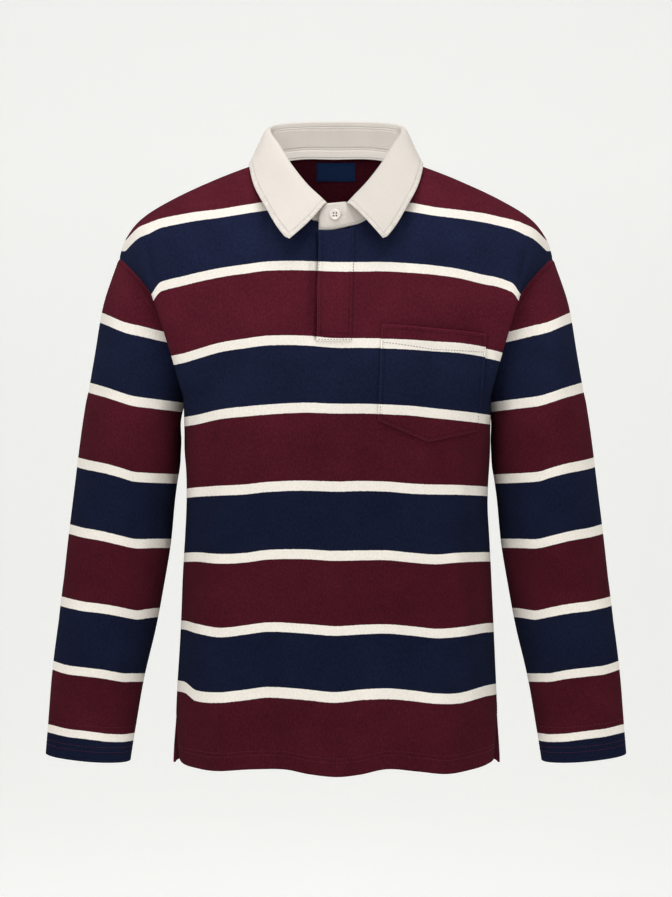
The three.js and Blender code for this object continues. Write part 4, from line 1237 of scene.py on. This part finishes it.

# Button with a rim, a dish and four holes, sewn on with two bars of thread between its holes
button = {"x": -1.2, "y": -82.6, "z": -75, "radius": 6.6, "thick": 2.5}
button |= {"bevelFrom": 5.5, "dish": 0.55, "dishFrom": 3.8, "dishTo": 4.9, "hole": 0.9, "spread": 1.65}


def makeButton():
    radii = np.concatenate([np.linspace(0, 5.2, 44), np.linspace(5.2, button["radius"], 12)[1:]])
    angles = np.linspace(0, 2 * math.pi, 97)[:-1]
    r, angle = np.meshgrid(radii, angles, indexing="ij")
    u, w = r * np.cos(angle), r * np.sin(angle)
    face = button["thick"] - button["dish"] * (1 - smoothStep(r, button["dishFrom"], button["dishTo"]))
    beyond = (r - button["bevelFrom"]) / (button["radius"] - button["bevelFrom"])
    face = face - 0.9 * np.clip(beyond, 0, 1) ** 2.4
    for a in (-1, 1):
        for b in (-1, 1):
            away = np.hypot(u - a * button["spread"], w - b * button["spread"])
            face = face - 2.1 * (1 - smoothStep(away, button["hole"] - 0.12, button["hole"] + 0.12))
    front = vectors(button["x"] + u, button["y"] - face, button["z"] + w)
    behind = vectors(button["x"] + u * 0.97, button["y"] + 0 * u, button["z"] + w * 0.97)
    rows, columns = r.shape
    index = np.arange(rows * columns).reshape(rows, columns)
    nextColumn = np.roll(index, -1, axis=1)
    count = rows * columns
    faces = [np.stack([index[1:], nextColumn[1:], nextColumn[:-1], index[:-1]], -1).reshape(-1, 4)]
    faces.append(faces[0][:, ::-1] + count)
    last, lastNext = index[-1], nextColumn[-1]
    faces.append(np.stack([last, last + count, lastNext + count, lastNext], -1))
    points = np.concatenate([front.reshape(-1, 3), behind.reshape(-1, 3)])
    return makeMesh("collarButton", points, np.concatenate(faces))


collarButton = makeButton()
buttonFront = button["y"] - button["thick"] + button["dish"]
threadRows = []
for height in (-1, 1):
    for shift in (-0.17, 0.17):
        z = button["z"] + height * button["spread"] + shift
        ends = [np.array([button["x"] + way * 0.8, buttonFront, z]) for way in (-1, 1)]
        threadRows.append((np.linspace(*ends, 12), np.repeat(np.array([[0.0, -1.0, 0.0]]), 12, axis=0)))
buttonThread = stitches("buttonThread", threadRows, length=1.5, gap=0.1, radius=0.15, lift=-0.02)


# Stitches across both lips of the buttonhole, on the band's face
def makeButtonhole():
    rows = []
    flat, facing = (standForm[key].reshape(-1, 3) for key in ("grid", "normals"))
    for side in (-1, 1):
        for k in range(14):
            x = button["x"] + 5.2 + k * 0.62
            z = button["z"] + side * 0.75
            near = np.argmin((flat[:, 0] - x) ** 2 + (flat[:, 2] - z) ** 2 + 40 * (flat[:, 1] > -70))
            spot = np.array([x, flat[near, 1], z])
            path = np.array([spot + [0, 0, 0.8 * side], spot - [0, 0, 0.8 * side]])
            rows.append((path, np.repeat(facing[near][None], 2, axis=0)))
    return stitches("buttonholeStitches", rows, length=1.5, gap=0.0, radius=0.24, lift=0.15)


buttonhole = makeButtonhole()
print("stage: button")


# Materials: sums on shader sockets are written as on numbers
class Value:
    def __init__(self, tree, socket):
        self.tree = tree
        self.socket = socket

    def maths(self, operation, *others, clamp=False):
        return self.tree.node("Math", {"operation": operation, "use_clamp": clamp}, self, *others)

    def __add__(self, other):
        return self.maths("ADD", other)

    __radd__ = __add__

    def __sub__(self, other):
        return self.maths("SUBTRACT", other)

    def __rsub__(self, other):
        return self.tree.node("Math", {"operation": "SUBTRACT"}, other, self)

    def __mul__(self, other):
        return self.maths("MULTIPLY", other)

    __rmul__ = __mul__

    def sin(self):
        return self.maths("SINE")

    def absolute(self):
        return self.maths("ABSOLUTE")

    def modulo(self, other):
        return self.maths("FLOORED_MODULO", other)

    def root(self):
        return self.maths("SQRT")

    def clamped(self):
        return self.maths("ADD", 0.0, clamp=True)

    def ramp(self, low, high, fromValue=0.0, toValue=1.0):
        settings = {"interpolation_type": "SMOOTHSTEP"}
        return self.tree.node("MapRange", settings, self, low, high, fromValue, toValue)


class Tree:
    def __init__(self, name):
        self.material = bpy.data.materials.new(name)
        self.material.use_nodes = True
        self.nodes = self.material.node_tree.nodes
        self.links = self.material.node_tree.links
        self.nodes.clear()
        self.output = self.nodes.new("ShaderNodeOutputMaterial")
        self.shader = self.nodes.new("ShaderNodeBsdfPrincipled")
        self.links.new(self.shader.outputs[0], self.output.inputs["Surface"])

    def join(self, socket, value):
        if isinstance(value, Value):
            self.links.new(value.socket, socket)
        else:
            socket.default_value = value

    def node(self, kind, settings, *inputs, out=0, **named):
        node = self.nodes.new("ShaderNode" + kind)
        for key, value in settings.items():
            setattr(node, key, value)
        for position, value in enumerate(inputs):
            if value is not None:
                self.join(node.inputs[position], value)
        for key, value in named.items():
            self.join(node.inputs[key.replace("_", " ")], value)
        return Value(self, node.outputs[out])

    def mix(self, factor, first, second):
        node = self.nodes.new("ShaderNodeMix")
        node.data_type = "RGBA"
        for place, value in ((0, factor), (6, first), (7, second)):
            self.join(node.inputs[place], value)
        return Value(self, node.outputs[2])

    def scaled(self, colour, factor):
        node = self.nodes.new("ShaderNodeVectorMath")
        node.operation = "SCALE"
        self.join(node.inputs[0], colour if isinstance(colour, Value) else colour[:3])
        self.join(node.inputs["Scale"], factor)
        return Value(self, node.outputs[0])

    def cloth(self):
        attribute = self.node("Attribute", {"attribute_name": "cloth"}, out="Vector")
        parts = self.nodes.new("ShaderNodeSeparateXYZ")
        self.links.new(attribute.socket, parts.inputs[0])
        return attribute, [Value(self, parts.outputs[i]) for i in range(3)]

    def noise(self, place, scale, detail=2.0, roughness=0.5):
        settings = {"Vector": place, "Scale": scale, "Detail": detail, "Roughness": roughness}
        return self.node("TexNoise", {}, out="Fac", **settings)

    def place(self):
        return self.node("TexCoord", {}, out="Object")

    def stretched(self, place, factors):
        return self.node("VectorMath", {"operation": "MULTIPLY"}, place, factors)

    def axis(self, place, name):
        return self.node("SeparateXYZ", {}, place, out=name)

    def bump(self, height, distance, strength=1.0):
        return self.node("Bump", {}, Strength=strength, Distance=distance, Height=height)

    def finish(self, colour, roughness, normal, settings):
        self.join(self.shader.inputs["Base Color"], colour)
        self.join(self.shader.inputs["Roughness"], roughness)
        self.join(self.shader.inputs["Normal"], normal)
        for key, value in settings.items():
            self.shader.inputs[key].default_value = value
        return self.material


def linear(red, green, blue):
    parts = [value / 255 for value in (red, green, blue)]
    return tuple(v / 12.92 if v <= 0.04045 else ((v + 0.055) / 1.055) ** 2.4 for v in parts) + (1.0,)


look = {  # wale, course and rib are the knit's and the twill's repeats in mm
    "maroon": linear(75, 24, 35),
    "navy": linear(24, 29, 51),
    "cream": linear(250, 243, 233),
    "twill": linear(238, 230, 221),
    "label": linear(38, 66, 116),
    # paintedLightLow and paintedLightHigh scale the dark stripes from hem to shoulders as painted top light
    "paintedLightLow": 0.9,
    "paintedLightHigh": 1.38,
    "button": linear(226, 219, 211),
    "thread": linear(236, 228, 218),
    "wale": 1.25,
    "course": 1.0,
    "rib": 1.15,
}
# How strongly each noise, the painted highlight along sewn edges and the painted shade of the stitched groove
# mark the knit
mottle = {"fine": 0.9, "speck": 0.5, "streak": 0.95, "broad": 0.5, "paintedEdgeHighlight": 0.4, "seamLine": 0.2}


# A sine of a pitch in mm, from 0 to 1
def waved(value, pitch, shift=0.0):
    return (value * (2 * math.pi / pitch) + shift).sin() * 0.5 + 0.5


def makeJersey():
    tree = Tree("stripedJersey")
    vector, (across, grain, sewn) = tree.cloth()
    place = tree.place()
    fine = tree.noise(place, 900.0, 3.0, 0.6)
    broad = tree.noise(place, 22.0, 3.0, 0.55)
    speck = tree.noise(place, 380.0, 2.0, 0.7)
    streak = tree.noise(tree.stretched(vector, (1.0, 0.4, 0.0)), 0.6, 2.0, 0.6)
    wander = (tree.noise(place, 300.0, 2.0) - 0.5) * 0.8 + (tree.noise(place, 18.0, 2.0) - 0.5) * 0.9
    period = stripe["navy"] + stripe["maroon"]
    half = stripe["creamHalf"]
    phase = (grain + wander).modulo(period)
    navyHalf = stripe["navy"] / 2
    soft = 0.25  # half of the width in which one colour meets the next
    inNavy = (phase - navyHalf).absolute().ramp(navyHalf + soft, navyHalf - soft)
    nearSecond = (phase - stripe["navy"]).absolute().ramp(half + soft, half - soft)
    nearFirst = (phase - period / 2).absolute().ramp(period / 2 - half - soft, period / 2 - half + soft)
    inCream = (nearFirst + nearSecond).clamped()
    # Painted light: the dark stripes are painted lighter towards the shoulders and darker towards the hem,
    # standing in for the top light
    paintedTopLight = tree.axis(place, "Z").ramp(-0.5, -0.02, look["paintedLightLow"], look["paintedLightHigh"])
    dark = tree.scaled(tree.mix(inNavy, look["maroon"], look["navy"]), paintedTopLight)
    colour = tree.mix(inCream, dark, look["cream"])
    wale = waved(across, look["wale"], (speck - 0.5) * 0.8)
    course = waved(grain, look["course"], (across * (2 * math.pi / look["wale"])).sin() * 1.4)
    knit = wale * 0.65 + wale * course * 0.35
    nearSewn = sewn.ramp(0.0, 9.0, 1.0, 0.0)
    # Painted highlight: the knit is painted lighter within about 1.7 mm of a sewn edge
    paintedEdgeHighlight = sewn.ramp(0.3, 1.7, 1.0, 0.0)
    # Painted shade: a dark line in the groove of the stitched row, 4.6 mm from the sewn edge
    seamLine = (sewn - 4.6).absolute().ramp(0.3, 1.2, 1.0, 0.0)
    quiet = 1.0 - inCream * 0.76
    spots = (fine - 0.5) * mottle["fine"] + (speck - 0.5) * mottle["speck"]
    spots = spots + (streak - 0.5) * mottle["streak"] + (broad - 0.5) * mottle["broad"]
    edges = paintedEdgeHighlight * mottle["paintedEdgeHighlight"] - seamLine * mottle["seamLine"]
    # Values past sewnLimit carry the painted shade beside the placket's open edge
    shaded = sewn.ramp(sewnLimit, sewnLimit + shadeRange)
    colour = tree.scaled(colour, 0.88 + knit * 0.12 + (spots + edges) * quiet - shaded * 0.5)
    pucker = tree.noise(place, 85.0, 1.0) * nearSewn
    height = knit * 0.35 + fine * 0.25 + streak * 0.3 + pucker * 1.8
    normal = tree.bump(height, 0.00045, 0.9)
    sheen = {"Sheen Weight": 0.01, "Sheen Roughness": 0.6, "Specular IOR Level": 0.0}
    return tree.finish(colour, 0.9, normal, sheen)


# groove is how far the stitched line lies from the edge
def makeTwill(name, colour, rib, groove, puckered):
    tree = Tree(name)
    _, (across, along, sewn) = tree.cloth()
    place = tree.place()
    fine = tree.noise(place, 800.0, 3.0, 0.6)
    broad = tree.noise(place, 26.0, 3.0, 0.6)
    ribs = waved(across + along, rib, (tree.noise(place, 150.0, 2.0) - 0.5) * 2.2)
    yarn = waved(across - along, rib * 0.55)
    weave = ribs * 0.7 + ribs * yarn * 0.3
    sunk = (sewn - groove).absolute().ramp(0.2, 1.5, 1.0, 0.0)
    pucker = (tree.noise(place, 170.0, 1.0) - 0.5) * sewn.ramp(3.0, 8.0, puckered, 0.0)
    # Painted shade: the stitched groove is painted darker, and the puckers are painted lighter and darker as
    # their own light and shade
    shade = 0.93 + weave * 0.07 + (fine - 0.5) * 0.16 + (broad - 0.5) * 0.1 - sunk * 0.09 + pucker * 0.34
    height = weave * 0.5 + fine * 0.3 + pucker * 5.0 - sunk * 1.1
    normal = tree.bump(height, 0.0006, 0.9)
    sheen = {"Sheen Weight": 0.05, "Sheen Roughness": 0.5, "Specular IOR Level": 0.12}
    return tree.finish(tree.scaled(colour, shade), 0.85, normal, sheen)


def makeThread(name, colour):
    tree = Tree(name)
    place = tree.place()
    twist = tree.noise(place, 1900.0, 1.0)
    shade = 0.86 + twist * 0.24
    normal = tree.bump(twist, 0.0001, 0.6)
    sheen = {"Sheen Weight": 0.03, "Specular IOR Level": 0.1}
    return tree.finish(tree.scaled(colour, shade), 0.6, normal, sheen)


def makeButtonMaterial():
    tree = Tree("buttonPearl")
    place = tree.place()
    cloud = tree.noise(place, 240.0, 3.0, 0.6)
    grain = tree.noise(place, 1500.0, 2.0)
    colour = tree.mix(cloud.ramp(0.3, 0.7), look["button"], linear(244, 239, 233))
    # Painted shade: the button's colour is darkened to brown inside its four holes
    right = (tree.axis(place, "X") * 1000 - button["x"]).absolute() - button["spread"]
    high = (tree.axis(place, "Z") * 1000 - button["z"]).absolute() - button["spread"]
    paintedHoleShade = (right * right + high * high).root().ramp(button["hole"] + 0.15, button["hole"] - 0.15)
    colour = tree.mix(paintedHoleShade, colour, linear(96, 76, 64))
    normal = tree.bump(grain, 0.00004, 0.5)
    return tree.finish(colour, 0.28 + cloud * 0.14, normal, {"Coat Weight": 0.3, "Specular IOR Level": 0.5})


jerseyMaterial = makeJersey()
twillMaterial = makeTwill("collarTwill", look["twill"], look["rib"], sewing["leaf"], 1.0)
standMaterial = makeTwill("standTwill", look["twill"], look["rib"], sewing["stand"], 0.25)
tapeMaterial = makeTwill("neckTapeTwill", linear(246, 239, 230), 2.2, 1.6, 0.1)
labelMaterial = makeTwill("labelWeave", look["label"], 0.7, 1.0, 0.1)
creamThread = makeThread("creamThread", look["thread"])
toneThread = makeThread("toneThread", linear(90, 38, 50))
darkThread = makeThread("darkThread", linear(34, 18, 32))
labelThread = makeThread("labelThread", linear(44, 54, 80))
buttonMaterial = makeButtonMaterial()


def dress(piece, material, nodes=()):
    piece.data.materials.append(material)
    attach(piece, "root")
    if nodes:
        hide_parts(*nodes)


jerseyPieces = {
    "front": frontPanel,
    "back": backPanel,
    "sleeve_left": sleeveLeft,
    "sleeve_right": sleeveRight,
    "pocket": pocket,
    "placket_top": placketTop,
    "placket_under": placketUnder,
}
for node, piece in jerseyPieces.items():
    dress(piece, jerseyMaterial, [node])
dress(collarLeaf, twillMaterial, ["collar_leaf"])
dress(collarStand, standMaterial, ["collar_stand"])
dress(neckTape, tapeMaterial, ["neck_tape"])
dress(neckLabel, labelMaterial, ["neck_label"])
dress(collarButton, buttonMaterial, ["collar_button"])
for piece in (hemStitches, cuffStitches):
    dress(piece, toneThread)
for piece in (seamStitches, placketStitches, pocketStitches):
    dress(piece, darkThread)
for piece in (collarStitches, buttonThread, buttonhole):
    dress(piece, creamThread)
dress(labelStitches, labelThread)

# Floor with a cove behind, camera and light, in metres
stage = {"floor": -1.12, "back": 3.8, "cove": 1.6, "half": 6.0, "front": -6.0, "top": 5.0}
stage |= {"glow": 0.245, "worldLight": 0.38}


def makeStage():
    lines = [(stage["front"], stage["floor"]), (stage["back"] - stage["cove"], stage["floor"])]
    for angle in np.linspace(0, math.pi / 2, 25)[1:]:
        y = stage["back"] - stage["cove"] + stage["cove"] * math.sin(angle)
        lines.append((y, stage["floor"] + stage["cove"] * (1 - math.cos(angle))))
    lines.append((stage["back"], stage["top"]))
    points = [(x, y, z) for y, z in lines for x in (-stage["half"], stage["half"])]
    faces = [(2 * i, 2 * i + 1, 2 * i + 3, 2 * i + 2) for i in range(len(lines) - 1)]
    floor = makeMesh("floor", np.array(points) / metre, faces)
    tree = Tree("paleFloor")
    cloud = tree.noise(tree.place(), 3.0, 2.0)
    colour = tree.scaled(linear(243, 243, 241), 0.99 + cloud * 0.02)
    normal = tree.bump(tree.noise(tree.place(), 90.0, 2.0), 0.0004, 0.2)
    tree.finish(colour, 0.9, normal, {"Specular IOR Level": 0.1, "Emission Strength": stage["glow"]})
    tree.join(tree.shader.inputs["Emission Color"], (1.0, 1.0, 0.985, 1.0))
    floor.data.materials.append(tree.material)


makeStage()
camera = bpy.data.objects.new("camera", bpy.data.cameras.new("camera"))
bpy.context.scene.collection.objects.link(camera)
camera.location = (0, -view["distance"] * metre, view["height"] * metre)
camera.rotation_euler = (math.pi / 2, 0, 0)
camera.data.sensor_fit = "VERTICAL"
camera.data.sensor_height = 24
camera.data.lens = 24 * view["distance"] / view["pictureHeight"]
camera.data.dof.use_dof = False
bpy.context.scene.camera = camera

world = bpy.data.worlds.new("studio")
bpy.context.scene.world = world
world.use_nodes = True
background = world.node_tree.nodes["Background"]
background.inputs["Color"].default_value = (1.0, 1.0, 0.99, 1.0)
background.inputs["Strength"].default_value = stage["worldLight"]


def areaLight(name, place, aim, size, power):
    light = bpy.data.lights.new(name, "AREA")
    light.shape = "RECTANGLE"
    light.size, light.size_y = size
    light.energy = power
    lamp = bpy.data.objects.new(name, light)
    bpy.context.scene.collection.objects.link(lamp)
    lamp.location = place
    direction = np.array(aim) - np.array(place)
    flat = math.hypot(direction[0], direction[1])
    lamp.rotation_euler = (math.atan2(flat, -direction[2]), 0, math.atan2(-direction[0], direction[1]))


areaLight("topLight", (0.0, -0.9, 2.2), (0, 0, -0.4), (2.4, 1.6), 46)
areaLight("keyLight", (-1.8, -2.6, 0.9), (0, 0, -0.35), (1.6, 2.0), 22)
areaLight("fillLight", (1.9, -2.5, 0.5), (0, 0, -0.4), (1.6, 2.0), 11)
bpy.context.scene.view_settings.view_transform = "Standard"

print("stage: light and camera")
